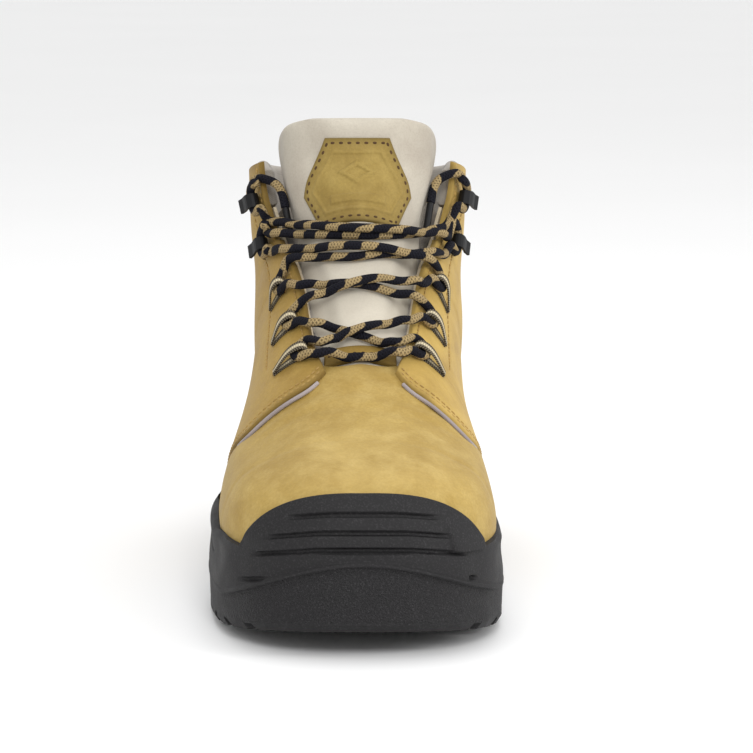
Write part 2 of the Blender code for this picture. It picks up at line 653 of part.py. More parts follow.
def make_upper():
    shell("vamp", "nubuck_light", 22, 17,
          lambda p, q: (TOE_START + (vamp_edge(np.abs(2 * p - 1)) - TOE_START) * q, 2 * p - 1), VAMP)
    shell("steel_toe_cap", "steel", 16, 9,
          lambda p, q: (TOE_START + (0.345 - TOE_START) * q, 0.98 * (2 * p - 1)), TOE_CAP)
    shell("toe_cap_trim", "lining", 16, 2, lambda p, q: (0.352 + 0.018 * q, 0.96 * (2 * p - 1)), TOE_CAP)
    shell("vamp_lining", "lining", 16, 11,
          lambda p, q: (TOE_START + (0.497 - TOE_START) * q, 0.985 * (2 * p - 1)),
          (lining_low, lining_high))
    for side, word in ((-1, "lateral"), (1, "medial")):
        shell("quarter_" + word, "nubuck", 13, 18,
              lambda p, q, s=side: quarter_region(s, p, q, depth=0.998), QUARTER)
        shell("quarter_lining_" + word, "lining", 10, 12,
              lambda p, q, s=side: quarter_region(s, p, q, start=0.06, end=0.885, inset=1.5, depth=0.99),
              LINING)
        shell("eyestay_stay_" + word, "board", 2, 12,
              lambda p, q, s=side: (0.565 + 0.32 * q, s * share(0.565 + 0.32 * q,
                                    throat_edge(0.565 + 0.32 * q) + 1 + 18 * p)), (-2.2, -0.8))
        shell("tongue_gusset_" + word, "lining", 2, 8,
              lambda p, q, s=side: (0.58 + 0.30 * q, s * share(0.58 + 0.30 * q,
                                    tongue_width(0.58 + 0.30 * q) + 1.2 + 11 * p)), GUSSET)
        edge = [base_point(np.array([quarter_edge[side](a) - 0.009]), np.array([side * a]), 1.3)[0]
                for a in np.linspace(0.17, 0.585, 7)]
        tube("quarter_piping_" + word, "piping", along_curve(edge, 5), 0.8)
    shell("heel_stiffener", "board", 26, 5, lambda p, q: wrap_region(
        ((0.67, 0.965), (0.814, 1), (0.872, 1), (0.70, 0.76)), p, q), STIFFENER)
    shell("heel_cover", "nubuck", 30, 5, heel_cover_region, HEEL_OVERLAY)
    shell("backstay", "nubuck", 4, 8, lambda p, q: (0.883 + 0.107 * q, np.where(p < 0.5, -1, 1) * (
        1 - np.abs(2 * p - 1) * share(0.883 + 0.107 * q, 9))), OVERLAY)
    shell("collar_pad", "padding", 26, 4, collar_region, COLLAR)


def badge_region(p, q):
    """A long hexagon, widest below its middle."""
    t = np.interp(q, (0, 0.3, 1), BADGE_T)
    return t, share(t, np.interp(t, BADGE_T, BADGE_WIDTH)) * (2 * p - 1)


def make_tongue():
    def over_tongue(low, high, width):
        return lambda p, q: (low + (high - low) * q, share(low + (high - low) * q,
                             width(low + (high - low) * q)) * (2 * p - 1))

    hinge = base_point(np.array([0.485]), np.array([0.0]), TONGUE[0])[0]
    pivot = bpy.data.objects.new("tongue_pivot", None)
    pivot.location = hinge * MM
    boot.objects.link(pivot)
    pieces = [
        shell("tongue", "padding", 10, 20, over_tongue(0.485, 1.1, tongue_width), TONGUE),
        shell("tongue_badge", "nubuck", 6, 5, badge_region, (-3.8, -2.6)),
        shell("tongue_base_strip", "nubuck", 6, 2, over_tongue(0.518, 0.542, lambda t: 16 + 0 * t),
              (-4.0, -2.8)),
    ]
    for piece in pieces:
        piece.data.transform(Matrix.Translation([-c * MM for c in hinge]))
        piece.parent = pivot


# Lacing.

def surface_frame(t, distance, side):
    """A point on the surface with its outward-going, upward and normal directions."""
    def at(step, further, height):
        near = np.array([t + step])
        return base_point(near, side * share(near, np.array([distance + further])), height)[0]

    origin = at(0, 0, 0)
    normal = at(0, 0, 1.0) - origin
    out = at(0, 1.0, 0) - origin
    out -= normal * np.dot(out, normal)
    out /= np.linalg.norm(out)
    rise = np.cross(out, normal) * -side
    return origin, out, rise, normal


def on_frame(frame, out, rise, height):
    origin, along, up, normal = frame
    return origin + along * out + up * rise + normal * height


def loop_frame(side, roots, reach):
    """The frame at a share of the way from a loop's outer root to its inner one, along the loop."""
    (t_out, d_out), (t_in, d_in) = roots
    frame = surface_frame(t_out + (t_in - t_out) * reach, d_out + (d_in - d_out) * reach, side)
    origin, _, _, normal = frame
    along = surface_frame(t_out, d_out, side)[0] - surface_frame(t_in, d_in, side)[0]
    along -= normal * np.dot(along, normal)
    along /= np.linalg.norm(along)
    return origin, along, np.cross(along, normal) * -side, normal


def make_loop(name, side, roots):
    """A webbing tape that stands up from the quarter as a handle, highest near its inner root."""
    def place(p, q):
        angle = math.pi * q
        reach = (1 - np.cos(angle)) / 2
        height = LOOP_FOOT + (LOOP_HEIGHT - LOOP_FOOT) * np.sin(angle) ** 0.6 * (0.55 + 0.45 * reach)
        return np.array([on_frame(loop_frame(side, roots, r), 0, (sideways - 0.5) * LOOP_WIDTH, h)
                         for r, sideways, h in zip(reach, p, height)])

    def outward(p, q):
        return np.array([loop_frame(side, roots, (1 - math.cos(math.pi * way)) / 2)[3] for way in q])

    piece = add_object(name, grid_mesh(name, 1, 10, place, outward), "webbing")
    solid = piece.modifiers.new("Solidify", "SOLIDIFY")
    solid.thickness, solid.offset = LOOP_TAPE * MM, 1


def hook_outline():
    """Side view of a hook: foot plate, bend and a top plate that flares up. x runs outwards."""
    radius = HOOK_GAP / 2 + HOOK_PLATE
    turns = np.radians(np.linspace(-90, 90, 9))
    outer = [(-radius * math.cos(a), radius + radius * math.sin(a)) for a in turns]
    inner = [(-(radius - HOOK_PLATE) * math.cos(a), radius + (radius - HOOK_PLATE) * math.sin(a))
             for a in turns]
    top = 2 * radius
    return ([(HOOK_REACH, 0)] + outer + [(HOOK_REACH - 2.5, top), (HOOK_REACH, top + 0.8),
            (HOOK_REACH, top - 0.3), (HOOK_REACH - 2.5, top - HOOK_PLATE)]
            + inner[::-1] + [(HOOK_REACH, HOOK_PLATE)])


def make_hook(word, side, number, place):
    frame = surface_frame(*place, side)
    outline = bpy.data.curves.new("outline", "CURVE")
    outline.dimensions = "2D"
    outline.fill_mode = "BOTH"
    outline.extrude = HOOK_WIDTH / 2 * MM
    spline = outline.splines.new("POLY")
    points = hook_outline()
    spline.points.add(len(points) - 1)
    for target, (x, y) in zip(spline.points, points):
        target.co = (x * MM, y * MM, 0, 1)
    spline.use_cyclic_u = True
    hook = add_object(f"lace_hook_{word}_{number}", outline, "black_metal")
    origin, out, rise, normal = frame
    across = np.cross(out, normal)
    hook.matrix_world = Matrix((
        (out[0], normal[0], across[0], 0),
        (out[1], normal[1], across[1], 0),
        (out[2], normal[2], across[2], 0),
        (0, 0, 0, 1),
    ))
    hook.location = (origin + normal * HOOK_FOOT) * MM
    work = bmesh.new()
    bmesh.ops.create_cone(work, cap_ends=True, segments=12, radius1=RIVET_RADIUS * MM,
                          radius2=0.6 * RIVET_RADIUS * MM, depth=RIVET_HEIGHT * MM)
    mesh = bpy.data.meshes.new("rivet")
    work.to_mesh(mesh)
    work.free()
    rivet = add_object(f"hook_rivet_{word}_{number}", mesh, "steel")
    rivet.matrix_world = Matrix.Translation((origin + out * RIVET_OUT + normal * (
        HOOK_FOOT + HOOK_PLATE + GAP + RIVET_HEIGHT / 2)) * MM) @ Matrix((
            (*out, 0), (*rise, 0), (*normal, 0), (0, 0, 0, 1))).transposed()


def turning_points(points):
    """Points on a smooth curve through the given ones, closer together where it bends."""
    dense = along_curve(points, 0.5)
    ways = np.diff(dense, axis=0)
    ways /= np.linalg.norm(ways, axis=1, keepdims=True)
    kept, last = [dense[0]], 0
    for i in range(1, len(ways)):
        turned = np.dot(ways[i], ways[last]) < LACE_TURN
        if turned or (i - last) * 0.5 >= LACE_STEP:
            kept.append(dense[i])
            last = i
    return kept + [dense[-1]]


def lace_points():
    """Points along the lace, from its lateral end inside the collar to its medial end."""
    hook_height = HOOK_FOOT + HOOK_PLATE + HOOK_GAP / 2
    loop_turn = ((-5.5, -4.6), (-2.4, -3.8), (-0.2, -2.2), (0.6, 0), (-0.2, 2.2), (-2.4, 3.8), (-5.5, 4.6))
    hook_turn = ((-8, -5.8), (-2.2, -5.4), (0.2, -2.8), (0.6, 0), (0.2, 2.8), (-2.2, 5.4), (-8, 5.8))

    def on_surface(t, distance, height):
        return base_point(np.array([t]), share(np.array([t]), np.array([distance])), height)[0]

    def through(kind, side, k, up):
        """Round a loop or a hook, in from the throat and back out to it, upwards or downwards."""
        if kind == "loop":
            frame = loop_frame(side, LOOPS[side][k], 0.7)
            points = [on_frame(frame, out, rise, LACE_OVER) for out, rise in loop_turn]
        else:
            frame = surface_frame(*HOOKS[side][k], side)
            points = [on_frame(frame, out, rise, hook_height) for out, rise in hook_turn]
        return points if up else points[::-1]

    def over(name, backwards=False):
        """A run from one side of the throat to the other, lying on the quarters and the tongue."""
        run = np.array(RUNS[name])
        fine = np.linspace(run[0, 1], run[-1, 1], 13)
        points = []
        across, lifts = curve(run[:, [1, 0]])(fine), np.interp(fine, run[:, 1], run[:, 2])
        for t, distance, lift in zip(across, fine, lifts):
            edge = throat_edge(t)
            height = LACE_REST + (LACE_OVER - LACE_REST) * smooth_step(abs(distance), edge - 10, edge - 2)
            points.append(on_surface(t, distance, height + lift))
        return points[::-1] if backwards else points

    def end(side):
        """From the tongue's side, up beside the throat edge and over the collar's front corner."""
        rise = 0.012 if side > 0 else 0
        places = ((0.866, 40.6, -2.0), (0.89, 41.2, -2.5), (0.915, 42.0, -2.5), (0.94, 43.6, -1.2),
                  (0.955, 46.2, 1.8), (0.96, 49, 4.3), (0.953, 52, 4.9))
        return [on_surface(t + rise, side * d, height) for t, d, height in places]

    return turning_points(
        end(-1) + through("hook", -1, 1, False) + over("top_over")
        + through("hook", 1, 0, False) + over("high_under", True)
        + through("loop", -1, 2, False) + over("middle_under")
        + through("loop", 1, 1, False) + over("low_over", True)
        + through("loop", -1, 0, False) + over("bar")
        + through("loop", 1, 0, True) + over("low_under", True)
        + through("loop", -1, 1, True) + over("middle_over")
        + through("loop", 1, 2, True) + over("high_over", True)
        + through("hook", -1, 0, True) + over("top_under")
        + through("hook", 1, 1, True) + end(1)[::-1]
    )


def make_lacing():
    for side, word in ((-1, "lateral"), (1, "medial")):
        for number, roots in enumerate(LOOPS[side], 1):
            make_loop(f"lace_loop_{word}_{number}", side, roots)
        for number, place in enumerate(HOOKS[side], 1):
            make_hook(word, side, number, place)
    points = lace_points()
    ends = {"lateral": points[0] - points[1], "medial": points[-1] - points[-2]}
    for word, way in ends.items():
        start = points[0] if word == "lateral" else points[-1]
        way = way / np.linalg.norm(way)
        tube(f"lace_tip_{word}", "black_metal", [start + way * 0.4, start + way * 12], LACE_RADIUS * 0.9)
    tube("lace", "lace", points, LACE_RADIUS)


for old in list(bpy.data.objects):
    bpy.data.objects.remove(old, do_unlink=True)
boot = bpy.data.collections.new("work_boot")
cutters = bpy.data.collections.new("cutters")
cutters.hide_render = True
bpy.context.scene.collection.children.link(boot)
bpy.context.scene.collection.children.link(cutters)
materials = {name: make_material(name) for name in COLOURS}

make_outsole()
make_midsole()
make_shank()
inner_plate("insole_board", "board", 2.5, -3.4, -1.2)
inner_plate("footbed", "lining", 7.2, -0.8, 3.4)
make_bumper()
make_upper()
make_tongue()
make_lacing()
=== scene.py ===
"""Looks of the steel toe work boot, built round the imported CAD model.

The upper's surface is the one the CAD uses, base_point(t, a), in millimetres: t runs from the toe
tip over the vamp and up the shaft, a from the front centre line (0) to the feather line or back
seam (-1 lateral, 1 medial). u is the distance from the toe tip along the sole.
"""

import json
import math

import bpy
import numpy as np
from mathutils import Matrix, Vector

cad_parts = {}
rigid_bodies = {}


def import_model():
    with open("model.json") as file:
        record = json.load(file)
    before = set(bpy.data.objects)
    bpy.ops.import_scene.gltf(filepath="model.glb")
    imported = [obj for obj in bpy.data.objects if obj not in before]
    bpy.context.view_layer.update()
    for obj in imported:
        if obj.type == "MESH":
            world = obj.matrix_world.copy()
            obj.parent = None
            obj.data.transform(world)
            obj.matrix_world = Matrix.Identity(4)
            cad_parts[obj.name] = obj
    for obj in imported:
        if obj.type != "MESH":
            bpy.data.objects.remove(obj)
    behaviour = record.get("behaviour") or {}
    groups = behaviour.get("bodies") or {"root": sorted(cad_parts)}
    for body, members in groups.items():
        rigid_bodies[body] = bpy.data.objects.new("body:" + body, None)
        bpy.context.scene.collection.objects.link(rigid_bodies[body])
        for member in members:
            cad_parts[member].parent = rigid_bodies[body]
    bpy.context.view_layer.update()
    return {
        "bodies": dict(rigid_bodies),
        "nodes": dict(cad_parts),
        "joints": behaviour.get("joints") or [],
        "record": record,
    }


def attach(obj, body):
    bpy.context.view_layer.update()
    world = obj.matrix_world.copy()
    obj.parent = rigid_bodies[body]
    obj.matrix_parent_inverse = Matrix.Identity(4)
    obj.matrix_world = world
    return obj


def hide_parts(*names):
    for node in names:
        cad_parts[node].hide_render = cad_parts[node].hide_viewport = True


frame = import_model()

MM = 0.001
BOOT, TONGUE_BODY = "boot", "tongue"
SIDES = ((-1, "lateral"), (1, "medial"))

# The boot's surface, as in the CAD.
LENGTH, COLLAR_T, TOP_T, HEEL_T, TURN_T = 305.0, 1.0, 1.12, 0.80, 0.70
# t; front line u, z; base rail u, z; widening; share where the front's rounding ends; squareness.
STATIONS = (
    (0.00, 6.5, 25.0, 6.5, 25.0, 1.00, 1.00, 2.4),
    (0.05, 5.6, 36.0, 9.0, 25.0, 1.00, 1.00, 2.4),
    (0.10, 6.6, 45.5, 14.0, 25.0, 1.00, 0.98, 2.4),
    (0.15, 10.0, 54.0, 21.0, 24.8, 1.00, 0.94, 2.4),
    (0.20, 16.5, 61.5, 29.5, 24.5, 1.00, 0.90, 2.45),
    (0.25, 26.0, 67.0, 40.0, 24.2, 1.00, 0.86, 2.5),
    (0.30, 38.0, 71.0, 52.0, 24.0, 1.00, 0.82, 2.5),
    (0.35, 52.0, 75.0, 65.0, 24.0, 1.00, 0.80, 2.4),
    (0.40, 68.0, 80.0, 81.0, 24.0, 1.00, 0.80, 2.3),
    (0.45, 84.0, 87.0, 98.0, 24.4, 1.00, 0.80, 2.2),
    (0.50, 100.0, 96.0, 120.0, 25.4, 1.01, 0.78, 2.1),
    (0.55, 115.0, 107.0, 147.0, 27.5, 1.03, 0.72, 2.05),
    (0.60, 128.5, 119.0, 179.0, 30.5, 1.08, 0.62, 2.0),
    (0.65, 139.5, 130.5, 214.0, 33.0, 1.15, 0.54, 2.0),
    (0.70, 148.5, 141.0, 250.0, 34.4, 1.20, 0.48, 2.0),
    (0.75, 155.5, 149.5, 280.0, 35.4, 1.21, 0.44, 2.0),
    (0.80, 160.5, 156.0, 295.5, 36.0, 1.21, 0.42, 2.0),
    (0.85, 164.0, 161.5, 300.0, 64.0, 1.22, 0.42, 2.05),
    (0.90, 167.0, 166.5, 296.0, 94.0, 1.22, 0.42, 2.1),
    (0.95, 169.5, 170.0, 292.5, 122.0, 1.14, 0.43, 2.15),
    (1.00, 171.5, 174.5, 295.0, 149.0, 1.06, 0.44, 2.2),
    (1.12, 175.5, 193.5, 299.0, 172.0, 1.05, 0.44, 2.2),
)
# Half widths: by u, by t, by u. Sideways places of the centre line: by u, by t.
UPPER_WIDTH = ((0, 50.5), (45, 51), (70, 52), (95, 52.2), (120, 50), (150, 45),
               (180, 40), (210, 36.5), (240, 34.5), (305, 34.5))
SHAFT_WIDTH = ((0.70, 34.5), (0.80, 34.5), (0.88, 34.5), (0.94, 37.5), (1.00, 41.5), (1.12, 43))
SOLE_WIDTH = ((0, 55.4), (45, 56), (70, 57), (95, 57.4), (120, 56), (150, 52),
              (180, 47), (210, 44), (240, 43.5), (305, 42.5))
BASE_LINE = ((0, 4), (45, 2.5), (95, -0.5), (150, -2.5), (200, -1.5), (260, 0), (305, 0.5))
RIDGE_LINE = ((0, 4), (0.2, 4), (0.35, 3), (0.5, 2.5), (0.65, 2.2), (0.8, 1.2), (1.12, 0.8))
# The back seam: (z, u). Heights by u: of the feather line and of the midsole's rim.
BACK_LINE = ((20, 294.5), (36, 295.5), (50, 297.5), (66, 298), (84, 295.8), (104, 292.5),
             (124, 290.5), (140, 291.4), (152, 293), (180, 297))
FEATHER = ((0, 25), (50, 24), (95, 24.4), (147, 27.5), (179, 30.5), (214, 33), (250, 34.4),
           (305, 36))
RIM = ((0, 40), (30, 38.4), (60, 40), (100, 43), (150, 43), (200, 42), (250, 42), (305, 43))
TOE_ROUND, TOE_SQUARE, TOE_TIP = 70.0, 2.45, 6.5
HEEL_ROUND, HEEL_SQUARE = 36.0, 2.2
SOLE_TOE_ROUND, SOLE_TOE_SQUARE = 74.0, 2.5
SOLE_HEEL_ROUND, SOLE_HEEL_SQUARE = 46.0, 2.3
TOE_SPRING, SPRING_END = 11.0, 95.0
ARCH_RISE, ARCH_START, ARCH_END = 6.0, 176.0, 222.0
TREAD = 7.0
RING_HALF = 330          # steps along each half of a ring round the sole
RING_SAMPLES = 500       # sections that a ring round the upper is read from

# Lacing. Places on the surface are (t, distance from the front centre line).
LACE_RADIUS = 1.85
LACE_STEP, LACE_TURN = 3.0, math.cos(math.radians(12))  # greatest length and turn of a segment
LACE_REST, LACE_OVER = -0.4, 4.6         # height of its centre: on the tongue, on a quarter
LOOP_WIDTH = 4.5
HOOK_HEIGHT = 5.9                        # of the lace's centre in a hook
LOOPS = {                # outer root and inner root of each webbing loop, bottom to top
    -1: (((0.534, 35.5), (0.534, 20.0)), ((0.594, 40.0), (0.596, 25.5)),
         ((0.662, 46.5), (0.672, 34.0))),
    1: (((0.532, 35.5), (0.538, 20.5)), ((0.594, 40.5), (0.602, 26.5)),
        ((0.660, 47.0), (0.680, 34.5))),
}
HOOKS = {-1: ((0.806, 52), (0.912, 53.5)), 1: ((0.822, 55), (0.925, 56.5))}
# Runs of the lace over the tongue, from lateral to medial: (t, distance to the medial side,
# extra height over another run).
RUNS = {
    "bar": ((0.518, -15, 0), (0.518, 0, 0), (0.519, 15, 0)),
    "low_under": ((0.572, -18.5, 0), (0.566, -12, 0), (0.555, -4, 0), (0.544, 5.5, 0),
                  (0.535, 14, 0)),
    "low_over": ((0.536, -14, 0), (0.546, -6, 3.4), (0.556, 3, 3.6), (0.569, 12, 1.2),
                 (0.576, 18.5, 0)),
    "middle_under": ((0.643, -24, 0), (0.637, -16, 0), (0.629, -4, 0), (0.624, 6, 0),
                     (0.621, 18, 0), (0.619, 24, 0)),
    "middle_over": ((0.614, -22, 0), (0.616, -15, 2.4), (0.618, -7, 3.8), (0.629, 5, 3.8),
                    (0.638, 16, 2.6), (0.650, 26, 0)),
    "high_under": ((0.702, -32, 0), (0.694, -22, 0), (0.680, -12, 0), (0.673, -1, 0),
                   (0.682, 9, 0), (0.706, 26, 0), (0.745, 43, 0)),
    "high_over": ((0.765, -46, 0), (0.728, -33, 0.2), (0.705, -20, 1.6), (0.686, -4, 3.2),
                  (0.684, 10, 3.8), (0.690, 21, 3.8), (0.698, 31, 1.2)),
    "top_under": ((0.835, -48, 0), (0.777, -34, 0), (0.740, -21, 0), (0.713, -2, 0),
                  (0.738, 20, 0), (0.780, 33, 0), (0.850, 47, 0)),
    "top_over": ((0.862, -47, 0), (0.808, -34, 0.4), (0.757, -20, 2.2), (0.719, -2, 3.7),
                 (0.733, 17, 3.8), (0.762, 31, 3.4), (0.812, 46, 0.6)),
}
# The lace's way round a loop or a hook, and its end over the collar's front corner.
LOOP_TURN = ((-5.5, -4.6), (-2.4, -3.8), (-0.2, -2.2), (0.6, 0), (-0.2, 2.2), (-2.4, 3.8),
             (-5.5, 4.6))
HOOK_TURN = ((-8, -5.8), (-2.2, -5.4), (0.2, -2.8), (0.6, 0), (0.2, 2.8), (-2.2, 5.4), (-8, 5.8))
LACE_END = ((0.866, 40.6, -2.0), (0.89, 41.2, -2.5), (0.915, 42.0, -2.5), (0.94, 43.6, -1.2),
            (0.955, 46.2, 1.8), (0.96, 49, 4.3), (0.953, 52, 4.9))
END_RISE = {-1: 0, 1: 0.012}             # how much higher, in t, the medial end lies


# Smooth functions from a few chosen points.

def curve(points):
    """Natural cubic spline through (x, y) points, held at its end values outside them."""
    x, y = np.array(points, float).T
    count, h = len(x), np.diff(x)
    rows, right = np.eye(count), np.zeros(count)
    for i in range(1, count - 1):
        rows[i, i - 1 : i + 2] = h[i - 1], 2 * (h[i - 1] + h[i]), h[i]
        right[i] = 6 * ((y[i + 1] - y[i]) / h[i] - (y[i] - y[i - 1]) / h[i - 1])
    bend = np.linalg.solve(rows, right)

    def value(q):
        q = np.clip(np.asarray(q, float), x[0], x[-1])
        i = np.clip(np.searchsorted(x, q) - 1, 0, count - 2)
        before, after = q - x[i], x[i + 1] - q
        cubic = (bend[i] * after**3 + bend[i + 1] * before**3) / (6 * h[i])
        return (
            cubic
            + (y[i] / h[i] - bend[i] * h[i] / 6) * after
            + (y[i + 1] / h[i] - bend[i + 1] * h[i] / 6) * before
        )

    return value


def rounding(distance, radius, square):
    """0 at an end, rising to 1 at the radius, as a superellipse does."""
    x = np.clip(1 - distance / radius, 0, 1)
    return np.clip(1 - x**square, 0, 1) ** (1 / square)


def smooth_step(x, low, high):
    x = np.clip((x - low) / (high - low), 0, 1)
    return x * x * (3 - 2 * x)


def quarter_round(distance, radius):
    """0 at an edge, rising to 1 at the radius, as a quarter of a circle does."""
    return np.sqrt(1 - (1 - np.clip(distance / radius, 0, 1)) ** 2)


def unit(vectors):
    """Each row scaled to length 1."""
    return vectors / np.linalg.norm(vectors, axis=-1, keepdims=True)


def walked(points):
    """The length of a path up to each of its points."""
    return np.concatenate([[0], np.cumsum(np.linalg.norm(np.diff(points, axis=0), axis=1))])


def interp_rows(at, places, points):
    """Each column of points, read at the given places."""
    return np.stack([np.interp(at, places, column) for column in np.transpose(points)], axis=1)


columns = np.array(STATIONS).T
front_u, front_z, rail_u, rail_z, widening, front_end, squareness = (
    curve(np.stack([columns[0], column], axis=1)) for column in columns[1:]
)
upper_width, shaft_width, sole_width = curve(UPPER_WIDTH), curve(SHAFT_WIDTH), curve(SOLE_WIDTH)
base_line, ridge_line, back_line = curve(BASE_LINE), curve(RIDGE_LINE), curve(BACK_LINE)
feather_height, rim_height = curve(FEATHER), curve(RIM)


def base_rail(t):
    """The feather line, then the back of the heel: (u, z)."""
    z = rail_z(t)
    start, end = rail_u(TURN_T), back_line(rail_z(HEEL_T))
    left = np.clip((HEEL_T - t) / (HEEL_T - TURN_T), 0, 1)
    turn = end - (end - start) * left**1.75
    return np.where(t > HEEL_T, back_line(z), np.where(t > TURN_T, turn, rail_u(t))), z


def straight_width(t):
    """Half width at the base rail without the heel's rounding."""
    u, _ = base_rail(t)
    foot = upper_width(u) * rounding(u - TOE_TIP, TOE_ROUND, TOE_SQUARE)
    return np.where(t < SHAFT_WIDTH[0][0], foot, shaft_width(t))


def section(t, s):
    """Centre, half width, u and z at the share s of the way from the front to the base rail."""
    fu, fz = front_u(t), front_z(t)
    bu, bz = base_rail(t)
    u, z = fu + (bu - fu) * s, fz + (bz - fz) * s
    past = np.clip((s - front_end(t)) / (1 - front_end(t) + 1e-9), 0, 1)
    belly = 1 + (widening(t) - 1) * np.cos(past * math.pi / 2)
    half = straight_width(t) * belly * rounding(s, front_end(t), squareness(t))
    half = half * rounding(back_line(z) - u, HEEL_ROUND, HEEL_SQUARE)
    centre = ridge_line(t) + (base_line(bu) - ridge_line(t)) * s
    return centre, half, u, z


# The upper's surface as a table over (t, a), with a from -1 (lateral) to 1 (medial).
T_STEPS, A_STEPS, S_STEPS = 281, 121, 241
INSIDE = (0, 140 - LENGTH / 2, 60)       # a point well inside the boot
t_table = np.linspace(0, TOP_T, T_STEPS)
A_COLUMNS = 2 * A_STEPS - 1


def build_table():
    """Points, outward normals, and half the way round each section."""
    shares = (1 - np.cos(np.linspace(0, math.pi, S_STEPS))) / 2
    points = np.zeros((T_STEPS, A_COLUMNS, 3))
    lengths = np.zeros(T_STEPS)
    half_a = np.linspace(0, 1, A_STEPS)
    for row, t in enumerate(t_table):
        centre, half, u, z = section(np.full(S_STEPS, t), shares)
        walk = walked(np.stack([half, u, z], axis=1))
        lengths[row] = walk[-1]
        at = half_a * walk[-1]
        c, w, uu, zz = (np.interp(at, walk, v) for v in (centre, half, u, z))
        y = uu - LENGTH / 2
        points[row, A_STEPS - 1 :] = np.stack([c + w, y, zz], axis=1)
        points[row, : A_STEPS] = np.stack([c - w, y, zz], axis=1)[::-1]
    normal = np.cross(np.gradient(points, axis=1), np.gradient(points, axis=0))
    # The back seam and the toe tip lie on the centre line, so their normals have no sideways part.
    normal[np.ix_(np.where(t_table > HEEL_T)[0], [0, -1], [0])] = 0
    normal[0] = (0, -1, 0)
    size = np.linalg.norm(normal, axis=2, keepdims=True)
    normal = normal / np.maximum(size, 1e-12)
    flip = np.sum(normal * (points - INSIDE), axis=2).mean() < 0
    return points, -normal if flip else normal, lengths


table_points, table_normals, table_girth = build_table()


def base_point(t, a, offset=0.0):
    """Points at an offset outwards from the upper's base surface."""
    t, a, offset = np.broadcast_arrays(t, a, offset)
    row = np.clip(t, 0, TOP_T) / TOP_T * (T_STEPS - 1)
    col = (np.clip(a, -1, 1) + 1) / 2 * (A_COLUMNS - 1)
    i = np.clip(row.astype(int), 0, T_STEPS - 2)
    j = np.clip(col.astype(int), 0, A_COLUMNS - 2)
    fi, fj = (row - i)[..., None], (col - j)[..., None]

    def blend(table):
        return (
            table[i, j] * (1 - fi) * (1 - fj)
            + table[i + 1, j] * fi * (1 - fj)
            + table[i, j + 1] * (1 - fi) * fj
            + table[i + 1, j + 1] * fi * fj
        )

    normal = blend(table_normals)
    normal /= np.maximum(np.linalg.norm(normal, axis=-1, keepdims=True), 1e-9)
    return blend(table_points) + normal * offset[..., None]


def one_point(t, a, offset=0.0):
    return base_point(np.array([t]), np.array([a]), offset)[0]


def girth(t):
    """Half the way round the section at t."""
    return np.interp(t, t_table, table_girth)


def share(t, distance):
    """The a of a point this far from the front centre line, along the surface."""
    return distance / girth(t)


def a_at_height(t, height):
    """The positive a where a section meets a height given by u, or nan where it doesn't."""
    row = base_point(np.full(A_STEPS, t), np.linspace(0, 1, A_STEPS))
    above = row[:, 2] - height(row[:, 1] + LENGTH / 2)
    if above[0] < 0 or above[-1] > 0:
        return np.nan
    return float(np.interp(0, -above, np.linspace(0, 1, A_STEPS)))


# Front edge of each quarter, t by a, and the vamp's edge, which runs on under the quarters.
quarter_edge = {
    -1: curve(((0, 0.510), (0.115, 0.503), (0.175, 0.484), (0.28, 0.470), (0.42, 0.464),
               (0.52, 0.469), (0.60, 0.488), (0.75, 0.520), (1, 0.545))),
    1: curve(((0, 0.510), (0.115, 0.503), (0.175, 0.481), (0.28, 0.464), (0.42, 0.452),
              (0.51, 0.455), (0.60, 0.478), (0.75, 0.515), (1, 0.545))),
}
vamp_edge = curve(((0, 0.508), (0.12, 0.509), (0.24, 0.53), (0.5, 0.538), (0.75, 0.565),
                   (1, 0.585)))
# Distances from the front centre line: of the quarters' throat edges, of the tongue's sides in
# the CAD, which the gussets meet, and of its sides here.
throat_edge = curve(((0.5, 13.5), (0.52, 15), (0.555, 18.5), (0.605, 22.5), (0.69, 29.5),
                     (0.78, 41), (0.87, 47), (1, 50)))
gusset_root = curve(((0.48, 22), (0.55, 28), (0.62, 34), (0.70, 38), (0.80, 42), (0.9, 44.5),
                     (1.02, 45.5), (1.05, 45), (1.075, 41), (1.1, 28)))
tongue_side = curve(((0.48, 22), (0.55, 28), (0.62, 34), (0.70, 38), (0.80, 42), (0.9, 44.5),
                     (0.98, 46.5), (1.02, 48.5), (1.045, 48.3), (1.065, 46), (1.082, 41),
                     (1.092, 34), (1.1, 22)))


def along_curve(points, step):
    """Points a step apart on a smooth curve through the given ones."""
    points = np.asarray(points, float)
    walk = walked(points)
    tracks = [curve(np.stack([walk, points[:, k]], axis=1)) for k in range(3)]
    fine = np.linspace(0, walk[-1], 40 * len(points))
    dense = np.stack([track(fine) for track in tracks], axis=1)
    length = walked(dense)
    at = np.linspace(0, length[-1], max(2, int(round(length[-1] / step)) + 1))
    return interp_rows(at, length, dense)


def ground(u):
    """Height of the outsole's underside: toe spring in front, raised under the arch."""
    spring = TOE_SPRING * np.clip(1 - u / SPRING_END, 0, 1) ** 1.5
    arch = ARCH_RISE * smooth_step(u, ARCH_START, ARCH_START + 14) * (
        1 - smooth_step(u, ARCH_END - 8, ARCH_END))
    return spring + arch


def closed_ring(centre, half, u, z):
    """A full ring from the points of its medial half."""
    medial = np.stack([centre + half, u - LENGTH / 2, z], axis=1)
    lateral = np.stack([centre - half, u - LENGTH / 2, z], axis=1)
    return np.concatenate([medial, lateral[-2:0:-1]])


def evenly(points):
    """The same path with points at even steps along it."""
    walk = walked(points[:, :3])
    return interp_rows(np.linspace(0, walk[-1], RING_HALF + 1), walk, points)


